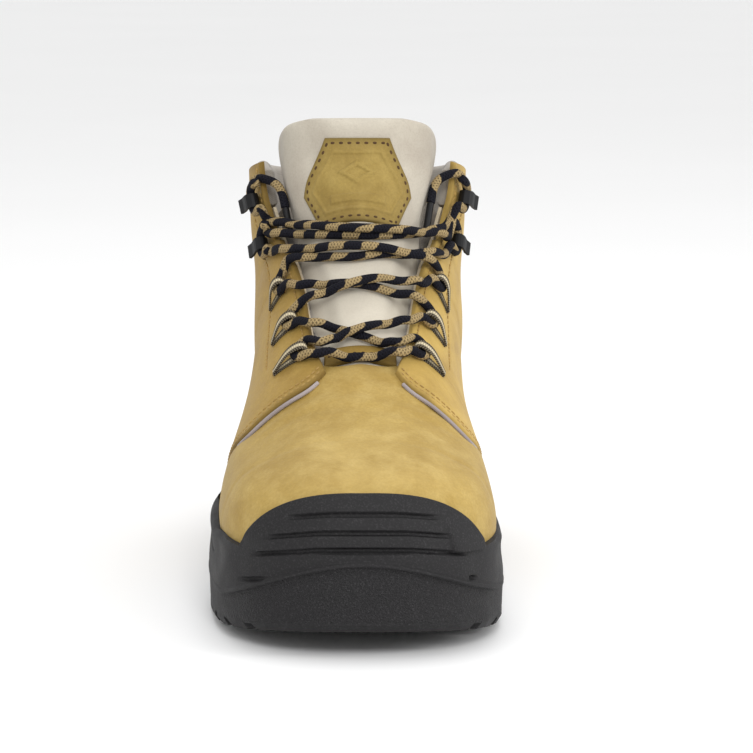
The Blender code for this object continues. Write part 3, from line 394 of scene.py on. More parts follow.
def sole_ring(inset, height, shrink=1.0):
    """The outsole's outline, moved in by an inset, at height(u); shrink 0 makes it a spine."""
    angle = np.linspace(0, math.pi, 400)
    u = inset + (LENGTH - 2 * inset) * (1 - np.cos(angle)) / 2
    half = ((sole_width(u) - inset) * rounding(u - inset, SOLE_TOE_ROUND, SOLE_TOE_SQUARE)
            * rounding(LENGTH - inset - u, SOLE_HEEL_ROUND, SOLE_HEEL_SQUARE))
    path = evenly(np.stack([half, u, 0 * u], axis=1))
    half, u = shrink * path[:, 0], path[:, 1]
    return closed_ring(base_line(u), half, u, height(u))


def upper_ring(height, room, at_base=False):
    """The upper's outline at height(u), moved out by room(u). at_base follows the base rail."""
    points = []
    for t in np.linspace(0, HEEL_T + 0.06, RING_SAMPLES):
        a = 1.0 if at_base and t <= HEEL_T else a_at_height(t, height)
        if at_base and t > HEEL_T or np.isnan(a):
            continue
        place = one_point(t, a)
        out = one_point(t, a, 1.0) - place
        out[2] = 0
        out /= max(np.linalg.norm(out), 1e-9)
        centre = base_line(place[1] + LENGTH / 2)
        place += out * room(place[1] + LENGTH / 2)
        points.append((place[0] - centre, place[1] + LENGTH / 2, 0.0, centre))
    path = np.array(points)
    path[0, 0] = path[-1, 0] = 0
    half, u, _, centre = evenly(path).T
    return closed_ring(centre, half, u, height(u))


def clearance(u):
    """Room between the midsole's wall and the upper: more where the quarters cover the vamp."""
    return 1.2 + 2.1 * smooth_step(u, 100, 118)


def surface_frame(t, distance, side):
    """A point on the surface with its outward-going, upward and normal directions."""
    def at(further, height):
        return one_point(t, side * share(t, distance + further), height)

    origin = at(0, 0)
    normal = at(0, 1.0) - origin
    out = at(1.0, 0) - origin
    out = unit(out - normal * np.dot(out, normal))
    return origin, out, np.cross(out, normal) * -side, normal


def on_frame(frame, out, rise, height):
    origin, along, up, normal = frame
    return origin + along * out + up * rise + normal * height


def loop_frame(side, roots, reach):
    """The frame at a share of the way from a loop's outer root to its inner one, along it."""
    (t_out, d_out), (t_in, d_in) = roots
    origin, _, _, normal = surface_frame(t_out + (t_in - t_out) * reach,
                                         d_out + (d_in - d_out) * reach, side)
    along = surface_frame(t_out, d_out, side)[0] - surface_frame(t_in, d_in, side)[0]
    along = unit(along - normal * np.dot(along, normal))
    return origin, along, np.cross(along, normal) * -side, normal


def turning_points(points):
    """Points on a smooth curve through the given ones, closer together where it bends."""
    step = 0.5
    dense = along_curve(points, step)
    ways = unit(np.diff(dense, axis=0))
    kept, last = [dense[0]], 0
    for i in range(1, len(ways)):
        if np.dot(ways[i], ways[last]) < LACE_TURN or (i - last) * step >= LACE_STEP:
            kept.append(dense[i])
            last = i
    return kept + [dense[-1]]


def lace_points():
    """Points along the lace, from its lateral end inside the collar to its medial end."""
    def on_surface(t, distance, height):
        return one_point(t, share(t, distance), height)

    def through(kind, side, k, up):
        """Round a loop or a hook, in from the throat and back to it, upwards or downwards."""
        if kind == "loop":
            frame, turn, height = loop_frame(side, LOOPS[side][k], 0.7), LOOP_TURN, LACE_OVER
        else:
            frame, turn, height = surface_frame(*HOOKS[side][k], side), HOOK_TURN, HOOK_HEIGHT
        points = [on_frame(frame, out, rise, height) for out, rise in turn]
        return points if up else points[::-1]

    def over(name, backwards=False):
        """A run from one side of the throat to the other, on the quarters and the tongue."""
        run = np.array(RUNS[name])
        fine = np.linspace(run[0, 1], run[-1, 1], 13)
        points = []
        across, lifts = curve(run[:, [1, 0]])(fine), np.interp(fine, run[:, 1], run[:, 2])
        for t, distance, lift in zip(across, fine, lifts):
            edge = throat_edge(t)
            onto = smooth_step(abs(distance), edge - 10, edge - 2)
            height = LACE_REST + (LACE_OVER - LACE_REST) * onto + lift
            points.append(on_surface(t, distance, height))
        return points[::-1] if backwards else points

    def end(side):
        """From the tongue's side, up beside the throat edge and over the collar's corner."""
        return [on_surface(t + END_RISE[side], side * d, height) for t, d, height in LACE_END]

    return turning_points(
        end(-1) + through("hook", -1, 1, False) + over("top_over")
        + through("hook", 1, 0, False) + over("high_under", True)
        + through("loop", -1, 2, False) + over("middle_under")
        + through("loop", 1, 1, False) + over("low_over", True)
        + through("loop", -1, 0, False) + over("bar")
        + through("loop", 1, 0, True) + over("low_under", True)
        + through("loop", -1, 1, True) + over("middle_over")
        + through("loop", 1, 2, True) + over("high_over", True)
        + through("hook", -1, 0, True) + over("top_under")
        + through("hook", 1, 1, True) + end(1)[::-1]
    )


# Materials.

SPINDLE, BRAID, TAPE_WEAVE = 0.0135, 0.0013, 0.0010     # lengths of the patterns, in metres


def srgb(red, green, blue):
    """Linear colour of an 8-bit screen colour."""
    return tuple(((c / 255 + 0.055) / 1.055) ** 2.4 if c > 10 else c / 255 / 12.92
                 for c in (red, green, blue))


def tone(colour, factor, most=1.0):
    """A lighter or darker colour."""
    return tuple(min(most, c * factor) for c in colour)


class Shader:
    """A material's node tree, with short calls for the nodes used here."""

    def __init__(self, name, roughness=0.8, **sockets):
        self.material = bpy.data.materials.new(name)
        self.material.use_nodes = True
        self.tree = self.material.node_tree
        self.surface = self.tree.nodes["Principled BSDF"]
        self.surface.inputs["Roughness"].default_value = roughness
        for socket, value in sockets.items():
            self.surface.inputs[socket.replace("_", " ")].default_value = value

    def node(self, kind, inputs=None, **settings):
        made = self.tree.nodes.new("ShaderNode" + kind)
        for key, value in settings.items():
            setattr(made, key, value)
        for key, value in (inputs or {}).items():
            if isinstance(value, bpy.types.NodeSocket):
                self.tree.links.new(value, made.inputs[key])
            else:
                made.inputs[key].default_value = value
        return made

    def math(self, operation, first, second=0.0):
        return self.node("Math", {0: first, 1: second}, operation=operation).outputs[0]

    def add(self, first, second):
        return self.math("ADD", first, second)

    def times(self, first, second):
        return self.math("MULTIPLY", first, second)

    def sine(self, value):
        return self.math("SINE", value)

    def attribute(self, name):
        return self.node("Attribute", attribute_name=name).outputs["Fac"]

    def place(self):
        return self.node("TexCoord").outputs["Object"]

    def cord_place(self):
        """The two UV coordinates: metres along, and once round or across."""
        return self.node("SeparateXYZ", {0: self.node("UVMap").outputs[0]}).outputs

    def noise(self, scale, detail=4.0, roughness=0.55, distortion=0.0):
        inputs = {"Vector": self.place(), "Scale": scale, "Detail": detail,
                  "Roughness": roughness, "Distortion": distortion}
        return self.node("TexNoise", inputs).outputs["Fac"]

    def spread(self, value, low, high):
        """A value from low to high stretched to 0 to 1."""
        return self.node("MapRange", {"Value": value, "From Min": low, "From Max": high}).outputs[0]

    def mix(self, factor, first, second):
        made = self.node("Mix", {"Factor": factor}, data_type="RGBA")
        for socket, value in ((made.inputs[6], first), (made.inputs[7], second)):
            if isinstance(value, bpy.types.NodeSocket):
                self.tree.links.new(value, socket)
            else:
                socket.default_value = (*value, 1)
        return made.outputs[2]

    def colour(self, socket):
        self.tree.links.new(socket, self.surface.inputs["Base Color"])

    def rough(self, socket):
        self.tree.links.new(socket, self.surface.inputs["Roughness"])

    def bump(self, *layers):
        """Layers of (height, strength, distance in metres), one on top of another."""
        normal = None
        for height, strength, distance in layers:
            inputs = {"Height": height, "Strength": strength, "Distance": distance}
            if normal is not None:
                inputs["Normal"] = normal
            normal = self.node("Bump", inputs).outputs[0]
        self.tree.links.new(normal, self.surface.inputs["Normal"])


def nubuck(name, dark, middle, light):
    """Napped leather: broad mottling, fine nap, small creases, edges darker from wear and painted
    shade, and pale patches of dust and painted light.
    """
    s = Shader(name, 0.88, Sheen_Weight=0.04, Sheen_Roughness=0.5, Specular_IOR_Level=0.15)
    broad = s.noise(34, 5, 0.6, distortion=0.6)
    patches = s.noise(120, 4, 0.6)
    nap = s.noise(900, 3, 0.7)
    fine = s.noise(2600, 2, 0.6)
    base = s.mix(s.spread(broad, 0.28, 0.66), dark, middle)
    base = s.mix(s.times(s.spread(patches, 0.42, 0.80), 0.6), base, light)
    base = s.mix(s.times(s.spread(nap, 0.62, 0.40), 0.22), base, tone(dark, 0.62))
    # Darker towards the panel edges: worn raw edges together with painted shade along them.
    base = s.mix(s.times(s.attribute("wear"), 0.7), base, tone(dark, 0.35))
    # Pale patches where the attribute asks for them: partly dust, partly painted light.
    dust = s.times(s.attribute("dust"), s.spread(broad, 0.22, 0.72))
    s.colour(s.mix(dust, base, tone(light, 1.25, 0.9)))
    s.rough(s.spread(patches, -1.2, 1.6))
    crease = s.noise(210, 3, 0.5, distortion=1.4)
    s.bump((crease, 0.16, 0.0012), (nap, 0.22, 0.0004), (fine, 0.25, 0.00012))
    return s.material


def rubber(name, colour, stipple):
    """Moulded rubber, stippled where the attribute panel is 1."""
    s = Shader(name, 0.62, Specular_IOR_Level=0.3)
    cloud = s.noise(60, 4, 0.6)
    grain = s.noise(1500, 3, 0.6)
    base = s.mix(s.spread(cloud, 0.35, 0.7), tone(colour, 0.85), tone(colour, 1.3))
    # Pale grain speckles: partly the rubber's grain, partly painted glints.
    s.colour(s.mix(s.spread(grain, 0.52, 0.72), base, tone(colour, 3.2)))
    s.rough(s.spread(cloud, -1.0, 1.2))
    dots = s.node("TexVoronoi", {"Vector": s.place(), "Scale": 1500.0}).outputs["Distance"]
    dots = s.times(dots, s.add(s.times(s.attribute("panel"), 0.9), 0.1))
    s.bump((grain, 0.35, 0.0004), (dots, stipple, 0.0005))
    return s.material


def cloth(name, dark, light, scale, strength=0.4):
    """A close plain weave, from two crossing waves in the object's own space."""
    s = Shader(name, 0.9, Sheen_Weight=0.2, Specular_IOR_Level=0.2)
    axes = s.node("SeparateXYZ", {0: s.place()}).outputs
    along = s.add(axes["Z"], s.times(axes["Y"], 0.7))
    weave = s.times(s.sine(s.times(axes["X"], scale)), s.sine(s.times(along, scale)))
    cloud = s.noise(45, 4, 0.6)
    fuzz = s.noise(1800, 2, 0.6)
    shade = s.add(s.times(s.spread(cloud, 0.3, 0.7), 0.75), s.times(s.spread(weave, -1, 1), 0.25))
    s.colour(s.mix(shade, dark, light))
    s.bump((weave, strength, 0.00012), (fuzz, 0.2, 0.0001))
    return s.material


def smooth_fabric(name, dark, light):
    """Coated tongue fabric, nearly smooth, with soft folds and a fine grain, painted shade towards
    its sides and a painted highlight low down.
    """
    s = Shader(name, 0.72, Sheen_Weight=0.15, Specular_IOR_Level=0.3)
    cloud = s.noise(30, 4, 0.55, distortion=0.4)
    grain = s.noise(1300, 4, 0.65)
    fold = s.noise(75, 3, 0.5, distortion=0.8)
    base = s.mix(s.spread(cloud, 0.32, 0.66), dark, light)
    base = s.mix(s.times(s.spread(grain, 0.55, 0.35), 0.18), base, tone(dark, 0.6))
    base = s.mix(s.attribute("shade"), base, tone(dark, 0.5))
    s.colour(s.mix(s.attribute("bright"), base, tone(light, 1.6, 0.85)))
    s.bump((fold, 0.14, 0.002), (grain, 0.25, 0.00018))
    return s.material


def plain(name, colour, roughness, metallic=0.0, scale=700, strength=0.12):
    """Metal, board or thread: faint clouds and a fine grain."""
    s = Shader(name, roughness, Metallic=metallic)
    cloud = s.noise(scale / 8, 3, 0.6)
    grain = s.noise(scale, 3, 0.6)
    s.colour(s.mix(s.spread(cloud, 0.3, 0.7), tone(colour, 0.8), tone(colour, 1.2)))
    s.bump((grain, strength, 0.0002))
    return s.material


def lace_material(name, dark, light):
    """Braided cord with a spindle pattern."""
    s = Shader(name, 0.85, Specular_IOR_Level=0.15)
    uv = s.cord_place()
    wobble = s.times(s.math("SUBTRACT", s.noise(160, 2, 0.5), 0.5), 2.2)
    walk = s.add(s.times(uv["X"], 2 * math.pi / SPINDLE), wobble)
    turn = s.times(uv["Y"], 2 * math.pi)
    spindle = s.times(s.sine(walk), s.math("COSINE", turn))
    twist = s.times(s.sine(s.add(walk, turn)), 0.45)
    braids = [s.sine(s.math(way, s.times(uv["X"], 2 * math.pi / BRAID), s.times(turn, 5)))
              for way in ("ADD", "SUBTRACT")]
    braid = s.math("MAXIMUM", *braids)
    fibre = s.noise(2200, 2, 0.6)
    pale = s.mix(s.spread(fibre, 0.3, 0.7), tone(light, 0.72), tone(light, 1.25))
    deep = s.mix(s.spread(fibre, 0.3, 0.7), tone(dark, 0.7), tone(dark, 1.5))
    base = s.mix(s.spread(s.add(spindle, twist), 0.14, 0.30), deep, pale)
    # Painted shade in the grooves between the braid's strands.
    s.colour(s.mix(s.times(s.spread(braid, 0.3, -0.4), 0.6), base, tone(dark, 0.25)))
    s.bump((braid, 0.6, 0.00035), (fibre, 0.25, 0.00012))
    return s.material


def webbing_material(name, cream, dark):
    """Narrow braided tape, dark along its edges."""
    s = Shader(name, 0.85, Specular_IOR_Level=0.15)
    uv = s.cord_place()
    middle = s.math("ABSOLUTE", s.math("SUBTRACT", uv["Y"], 0.5))
    zigzag = s.sine(s.add(s.times(uv["X"], 2 * math.pi / TAPE_WEAVE), s.times(middle, 14)))
    edge = s.spread(s.add(middle, s.times(zigzag, 0.05)), 0.14, 0.21)
    threads = s.spread(zigzag, -0.6, 0.6)
    light = s.mix(threads, tone(cream, 0.55), cream)
    deep = s.mix(threads, dark, tone(cream, 0.22))
    s.colour(s.mix(edge, light, deep))
    s.bump((zigzag, 0.5, 0.0003))
    return s.material


LOOK = {
    "nubuck": nubuck("nubuck", srgb(146, 116, 54), srgb(166, 136, 68), srgb(182, 154, 86)),
    "nubuck_light": nubuck("nubuck_light", srgb(154, 126, 62), srgb(171, 144, 78),
                           srgb(192, 168, 108)),
    "nubuck_badge": nubuck("nubuck_badge", srgb(134, 111, 56), srgb(154, 131, 70),
                           srgb(170, 148, 88)),
    "rubber": rubber("rubber", srgb(25, 24, 25), 0.9),
    "padding": smooth_fabric("padding", srgb(162, 152, 138), srgb(190, 183, 168)),
    # Grey collar cloth, painted darker to stand for the shade inside the collar.
    "shaded_collar_cloth": cloth("shaded_collar_cloth", srgb(128, 121, 112), srgb(168, 161, 151), 5200),
    "lining": cloth("lining_cloth", srgb(120, 114, 108), srgb(165, 158, 150), 3600),
    "piping": cloth("piping_cloth", srgb(128, 118, 118), srgb(165, 155, 154), 7000, 0.3),
    "steel": plain("steel", srgb(190, 190, 194), 0.35, 1.0),
    "black_metal": plain("black_metal", srgb(14, 14, 16), 0.45, 0.0, 500, 0.06),
    "board": plain("board", srgb(198, 184, 158), 0.9, 0.0, 900, 0.3),
    "thread": plain("thread", srgb(158, 128, 70), 0.8, 0.0, 3000, 0.4),
    # Stitch holes as dark brown marks: painted shade in the holes.
    "hole": plain("stitch_hole_shade", srgb(70, 48, 24), 0.95, 0.0, 2000, 0.2),
    "webbing": webbing_material("webbing", srgb(214, 200, 168), srgb(44, 34, 28)),
    "lace": lace_material("lace_cord", srgb(20, 20, 28), srgb(158, 137, 98)),
}
coating = LOOK["black_metal"].node_tree.nodes["Principled BSDF"]
coating.inputs["Specular IOR Level"].default_value = 0.25


# Meshes, laid out in millimetres.

SHARP_ANGLE = math.radians(55)           # edges sharper than this are shaded as corners
EDGE_WEAR_AND_SHADE_WIDTH = 2.2                         # how far the edge darkening, part wear and part painted shade, reaches into a panel

def crowded(count, edge):
    """Shares from 0 to 1, closer together over the given share at each end."""
    near = edge * (1 - np.cos(np.linspace(0, math.pi / 2, 6)))[:-1]
    return np.concatenate([near, np.linspace(edge, 1 - edge, count), 1 - near[::-1]])


def add_piece(name, points, faces, look, slot, body=BOOT, replaces=True, uvs=None, **attributes):
    """A piece that rides a body and, unless told otherwise, replaces the CAD node of its name."""
    mesh = bpy.data.meshes.new(name)
    mesh.from_pydata((np.asarray(points) * MM).tolist(), [], [list(f) for f in faces])
    if uvs is not None:
        corners = np.empty(len(mesh.loops), np.int32)
        mesh.loops.foreach_get("vertex_index", corners)
        layer = mesh.uv_layers.new(name="UVMap")
        layer.data.foreach_set("uv", uvs[corners].astype(np.float32).ravel())
    for key, values in attributes.items():
        mesh.attributes.new(key, "FLOAT", "POINT").data.foreach_set(
            "value", np.asarray(values, np.float32).ravel())
    mesh.materials.append(LOOK[look])
    mesh.shade_smooth()
    mesh.set_sharp_from_angle(angle=SHARP_ANGLE)
    piece = bpy.data.objects.new(name + ("_detailed" if replaces else ""), mesh)
    bpy.context.scene.collection.objects.link(piece)
    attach(piece, body)
    if replaces:
        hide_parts(name)
    return piece


def grid_faces(rows, columns):
    index = np.arange(rows * columns).reshape(rows, columns)
    corners = [index[:-1, :-1], index[:-1, 1:], index[1:, 1:], index[1:, :-1]]
    return np.stack(corners, axis=2).reshape(-1, 4)


def closed_patch(name, look, slot, top, bottom, uvs=None, **more):
    """A solid between two grids of points that share their border. top faces outwards. more
    holds options, and values of attributes for one grid, which both grids get."""
    rows, columns = top.shape[:2]
    index = np.arange(rows * columns).reshape(rows, columns)
    lower = index + rows * columns
    lower[0], lower[-1], lower[:, 0], lower[:, -1] = index[0], index[-1], index[:, 0], index[:, -1]
    upper_faces = grid_faces(rows, columns)
    lower_faces = lower.ravel()[upper_faces]
    i, j = rows // 2, columns // 2
    normal = np.cross(top[i, j + 1] - top[i, j], top[i + 1, j] - top[i, j])
    if np.dot(normal, top[i, j] - bottom[i, j]) > 0:
        lower_faces = lower_faces[:, ::-1]
    else:
        upper_faces = upper_faces[:, ::-1]
    points = np.concatenate([top.reshape(-1, 3), bottom.reshape(-1, 3)])
    faces = np.concatenate([upper_faces, lower_faces])
    kept = np.zeros(len(points), bool)
    kept[faces.ravel()] = True
    more = {key: np.tile(np.ravel(v), 2)[kept] if isinstance(v, np.ndarray) else v
            for key, v in more.items()}
    if uvs is not None:
        more["uvs"] = np.tile(uvs, (2, 1))[kept]
    return add_piece(name, points[kept], (np.cumsum(kept) - 1)[faces], look, slot, **more)


def border_distances(points):
    """Distances in millimetres from the sides of a grid: first and last column, first and last
    row."""
    along = np.linalg.norm(np.diff(points, axis=1), axis=2)
    up = np.linalg.norm(np.diff(points, axis=0), axis=2)
    left = np.pad(np.cumsum(along, axis=1), ((0, 0), (1, 0)))
    low = np.pad(np.cumsum(up, axis=0), ((1, 0), (0, 0)))
    return left, left[:, -1:] - left, low, low[-1:] - low


def patch(name, look, slot, across, along, region, layer, radius=1.0, both=False, relief=None,
          tints=None, **more):
    """A panel on the upper's surface with rounded edges. region maps (p, q), each 0 to 1, to
    (t, a), layer is its lowest and highest offset, relief adds to its height, and tints maps
    (t, a) to named values that its material reads. both rounds its underside as well."""
    low, high = layer
    coarse = np.linspace(0, 1, 24)
    p, q = np.meshgrid(coarse, coarse)
    t, a = region(p.ravel(), q.ravel())
    left, _, bottom, _ = border_distances(base_point(t, a, high).reshape(*p.shape, 3))
    p, q = np.meshgrid(crowded(across, min(0.3, radius / left[:, -1].mean())),
                       crowded(along, min(0.3, radius / bottom[-1].mean())))
    t, a = (np.reshape(v, p.shape) for v in region(p.ravel(), q.ravel()))
    left, right, down, up = border_distances(base_point(t, a, (low + high) / 2))
    nearest = np.minimum(np.minimum(left, right), np.minimum(down, up))
    round_up = quarter_round(nearest, radius)
    extra = 0
    if relief is not None:
        extra = relief(t, a, left, down, nearest) * np.clip(nearest / radius, 0, 1)
    if both:
        middle, half = (low + high) / 2, (high - low) / 2
        top, under = middle + half * round_up + extra, middle - half * round_up
    else:
        top, under = low + (high - low) * round_up + extra, low + 0 * round_up
    if tints is not None:
        more.update(tints(t, a))
    # Each panel gets an edge darkening, which nubuck paints partly as wear and partly as shade.
    return closed_patch(name, look, slot, base_point(t, a, top), base_point(t, a, under),
                        wear=np.exp(-nearest / EDGE_WEAR_AND_SHADE_WIDTH), **more)


def rope(name, look, slot, points, radius, sides=16):
    """A round cord through points, with UVs: metres along, and once round."""
    points = np.asarray(points, float)
    ways = unit(np.gradient(points, axis=0))
    normals = [np.cross(ways[0], (0.3, 0.2, 0.9))]
    for way in ways:
        normals.append(unit(normals[-1] - way * np.dot(normals[-1], way)))
    normals = np.array(normals[1:])
    others = np.cross(ways, normals)
    turns = np.linspace(0, 2 * math.pi, sides + 1)
    rings = points[:, None] + radius * (normals[:, None] * np.cos(turns)[:, None]
                                        + others[:, None] * np.sin(turns)[:, None])
    walk = walked(points) * MM
    uvs = np.stack(np.broadcast_arrays(walk[:, None], turns / (2 * math.pi)), axis=2).reshape(-1, 2)
    uvs = np.concatenate([uvs, [[0, 0.5], [walk[-1], 0.5]]])
    faces = [list(f) for f in grid_faces(len(points), sides + 1)[:, ::-1]]
    count = len(points) * (sides + 1)
    ends = np.stack([points[0] - ways[0] * radius * 0.4, points[-1] + ways[-1] * radius * 0.4])
    for k in range(sides):
        faces.append([k, k + 1, count])
        faces.append([count - sides + k, count - sides - 1 + k, count + 1])
    return add_piece(name, np.concatenate([rings.reshape(-1, 3), ends]), faces, look, slot, uvs=uvs)


def surface_path(t, a, height, step):
    """Even steps along a line on the surface: points and outward directions."""
    t, a = np.asarray(t, float), np.asarray(a, float)
    points, lifted = base_point(t, a, height), base_point(t, a, height + 1.0)
    walk = walked(points)
    at = np.arange(step / 2, walk[-1], step)
    even = interp_rows(at, walk, points)
    return even, interp_rows(at, walk, lifted) - even


STUD_SIDES = 8
STUD_RINGS = ((-0.5, 0.0), (-0.42, 0.6), (-0.2, 1.0), (0.2, 1.0), (0.42, 0.6), (0.5, 0.0))


def studs(name, look, slot, paths, length, width, height, **more):
    """Small rounded bars laid end to end along paths: stitches, or the holes between them."""
    turns = np.linspace(0, 2 * math.pi, STUD_SIDES, endpoint=False)
    shape = np.array([(x, r * math.cos(turn), r * math.sin(turn))
                      for x, r in STUD_RINGS for turn in turns])
    last = STUD_SIDES - 1
    closing = [[r + last, r, r + STUD_SIDES, r + STUD_SIDES + last]
               for r in range(0, len(shape) - STUD_SIDES, STUD_SIDES)]
    one = np.concatenate([grid_faces(len(STUD_RINGS), STUD_SIDES), closing])[:, ::-1]
    points, faces = [], []
    for even, up in paths:
        for origin, way, normal in zip(even, unit(np.gradient(even, axis=0)), up):
            normal = unit(normal - way * np.dot(way, normal))
            side = np.cross(normal, way)
            faces.append(one + len(points) * len(shape))
            points.append(origin + shape[:, :1] * length * way + shape[:, 1:2] * width / 2 * side
                          + shape[:, 2:] * height / 2 * normal)
    return add_piece(name, np.concatenate(points), np.concatenate(faces), look, slot,
                     replaces=False, **more)


def loft(name, look, slot, rings, **more):
    """Closed rings joined one to the next. The first and the last are spines, folded flat."""
    index = np.arange(len(rings) * len(rings[0])).reshape(len(rings), -1)
    index = np.concatenate([index, index[:, :1]], axis=1)
    corners = [index[:-1, :-1], index[:-1, 1:], index[1:, 1:], index[1:, :-1]]
    faces = np.stack(corners, axis=2).reshape(-1, 4)
    return add_piece(name, np.concatenate(rings), faces, look, slot, **more)


# Sole unit.

TOE_CENTRE, TOE_HALF = 4.0, 55.4         # the toe wall, seen from the front
# Ridge over the stippled panel: height at the middle, how far it drops towards the sides.
RIDGE_TOP, RIDGE_DROP, RIDGE_POWER, RIDGE_HALF, RIDGE_PROUD = 36.5, 19.0, 1.9, 0.8, 1.3
GROOVES = (              # height at the middle, left end, right end
    (55.0, -26, 33), (48.6, -34, 38), (42.4, -39.5, 44), (32.8, -44, -32), (33.2, 43.5, 46.5),
)
GROOVE_HALF, GROOVE_CUT, GROOVE_SAG = 0.8, 1.7, 2.8
SIDE_LINE_DROP, SIDE_LINE_CUT = 9, 0.7   # groove round the sides, below the rim
SLIT_U, SLIT_HALF, SLIT_CUT, SLIT_Z = 33, 1.6, 0.8, (17, 27)
LIP_DEPTH = 5.2                          # how far the midsole reaches down inside its wall
WALL_ROWS, TOE_FADE = 92, (36, 50)       # rows up the wall, and where its toe ends, by u
# How far in the wall stands, by the share of its height: along the sides and round the toe.
WALL_INSET = curve(((0, 0.45), (0.16, 0.3), (0.5, 0.15), (0.85, 0.8), (0.97, 1.2), (1, 2.0)))
TOE_INSET = curve(((0, 0.9), (0.05, 0.45), (0.3, 0.2), (0.5, 0.15), (1, 0.9)))


def toe_share(x):
    return np.clip(np.abs(x - TOE_CENTRE) / TOE_HALF, 0, 1)


def groove_depth(x, z):
    """How deep the toe rubber's moulded grooves are at (x, z), seen from the front."""
    depth = 0 * x
    for middle, start, end in GROOVES:
        centre = middle - GROOVE_SAG * (toe_share(x) / 0.55) ** 2
        across = smooth_step(GROOVE_HALF + 0.35 - np.abs(z - centre), 0, 0.7)
        along = smooth_step(np.minimum(x - start, end - x), 0, min(7.0, (end - start) / 2)) ** 0.6
        depth = np.maximum(depth, GROOVE_CUT * across * along)
    return depth


def rim(u):
    """Height of the wall's top: a little lower along the sides than the CAD's."""
    return rim_height(u) - 3.5 * smooth_step(u, 48, 72) * (1 - smooth_step(u, 130, 165))


def lip_room(u):
    """Room between the wall's top and the upper."""
    return 0.3 + 2.9 * smooth_step(u, 106, 128)


def wall_foot(u):
    """Height of the wall's foot: it wraps over the outsole's front."""
    return ground(u) + 2.2 + (TREAD + 0.05 - 2.2) * smooth_step(u, 34, 62)


def make_midsole():
    """The cup with its side wall, from the underside up, over the rim and down inside."""
    rings, panels = [sole_ring(0.5, wall_foot, 0)], []
    full = sole_ring(0.0, wall_foot)
    inward = (sole_ring(4.0, wall_foot) - full) / 4.0
    inward[:, 2] = 0
    x, u = full[:, 0], full[:, 1] + LENGTH / 2
    foot, toe = wall_foot(u), 1 - smooth_step(u, *TOE_FADE)
    across = np.where(u < 75, toe_share(x), 1)
    for up in np.linspace(0, 1, WALL_ROWS):
        z = foot + (rim(u) - foot) * up
        inset = WALL_INSET(up) * (1 - toe) + TOE_INSET(up) * toe
        away = z - (RIDGE_TOP - RIDGE_DROP * across**RIDGE_POWER)
        ridge = RIDGE_PROUD * smooth_step(RIDGE_HALF + 0.4 - np.abs(away), 0, 0.8)
        ridge = ridge * (1 - 0.8 * smooth_step(across, 0.86, 0.98))
        line = SIDE_LINE_CUT * smooth_step(0.9 - np.abs(z - (rim(u) - SIDE_LINE_DROP)), 0, 0.5)
        line = line * smooth_step(u, 60, 70)
        panel = 0.6 * smooth_step(-away - RIDGE_HALF, 0, 1.0) * smooth_step(z - foot, 0, 6) * toe
        slit = SLIT_CUT * smooth_step(SLIT_HALF - np.abs(u - SLIT_U), 0, 0.8)
        slit = slit * smooth_step(np.minimum(z - SLIT_Z[0], SLIT_Z[1] - z), 0, 1) * (away < -4)
        shift = inset - ridge + line + groove_depth(x, z) * toe + panel + slit
        ring = full + inward * shift[:, None]
        ring[:, 2] = z
        rings.append(ring)
        panels.append(np.where(away < -RIDGE_HALF, 1.0, 0.0) * toe)
    inner = upper_ring(feather_height, clearance, True)
    rings += [
        upper_ring(rim, lambda v: lip_room(v) + 0.6),
        upper_ring(lambda v: rim(v) - 1, lip_room),
        inner,
        inner - (0, 0, LIP_DEPTH),
        sole_ring(4.0, lambda v: feather_height(v) - LIP_DEPTH, 0),
    ]
    plain_ring = 0 * u
    panels = [plain_ring] + panels + [plain_ring] * 5
    loft("midsole", "rubber", "midsole", rings, panel=np.concatenate(panels))


BUMPER_T, BUMPER_CREST, BUMPER_END = (0.085, 0.225), 0.184, 0.80
BUMPER_LAYER, BUMPER_ROUND = (0.9, 4.8), 2.2
BUMPER_COLUMNS, BUMPER_ROWS, FOOT_PASSES = 300, 84, 12
FLASH_X, FLASH_HALF, FLASH_HEIGHT, FLASH_TOP = 0.7, 0.5, 0.35, 60     # the mould line in front


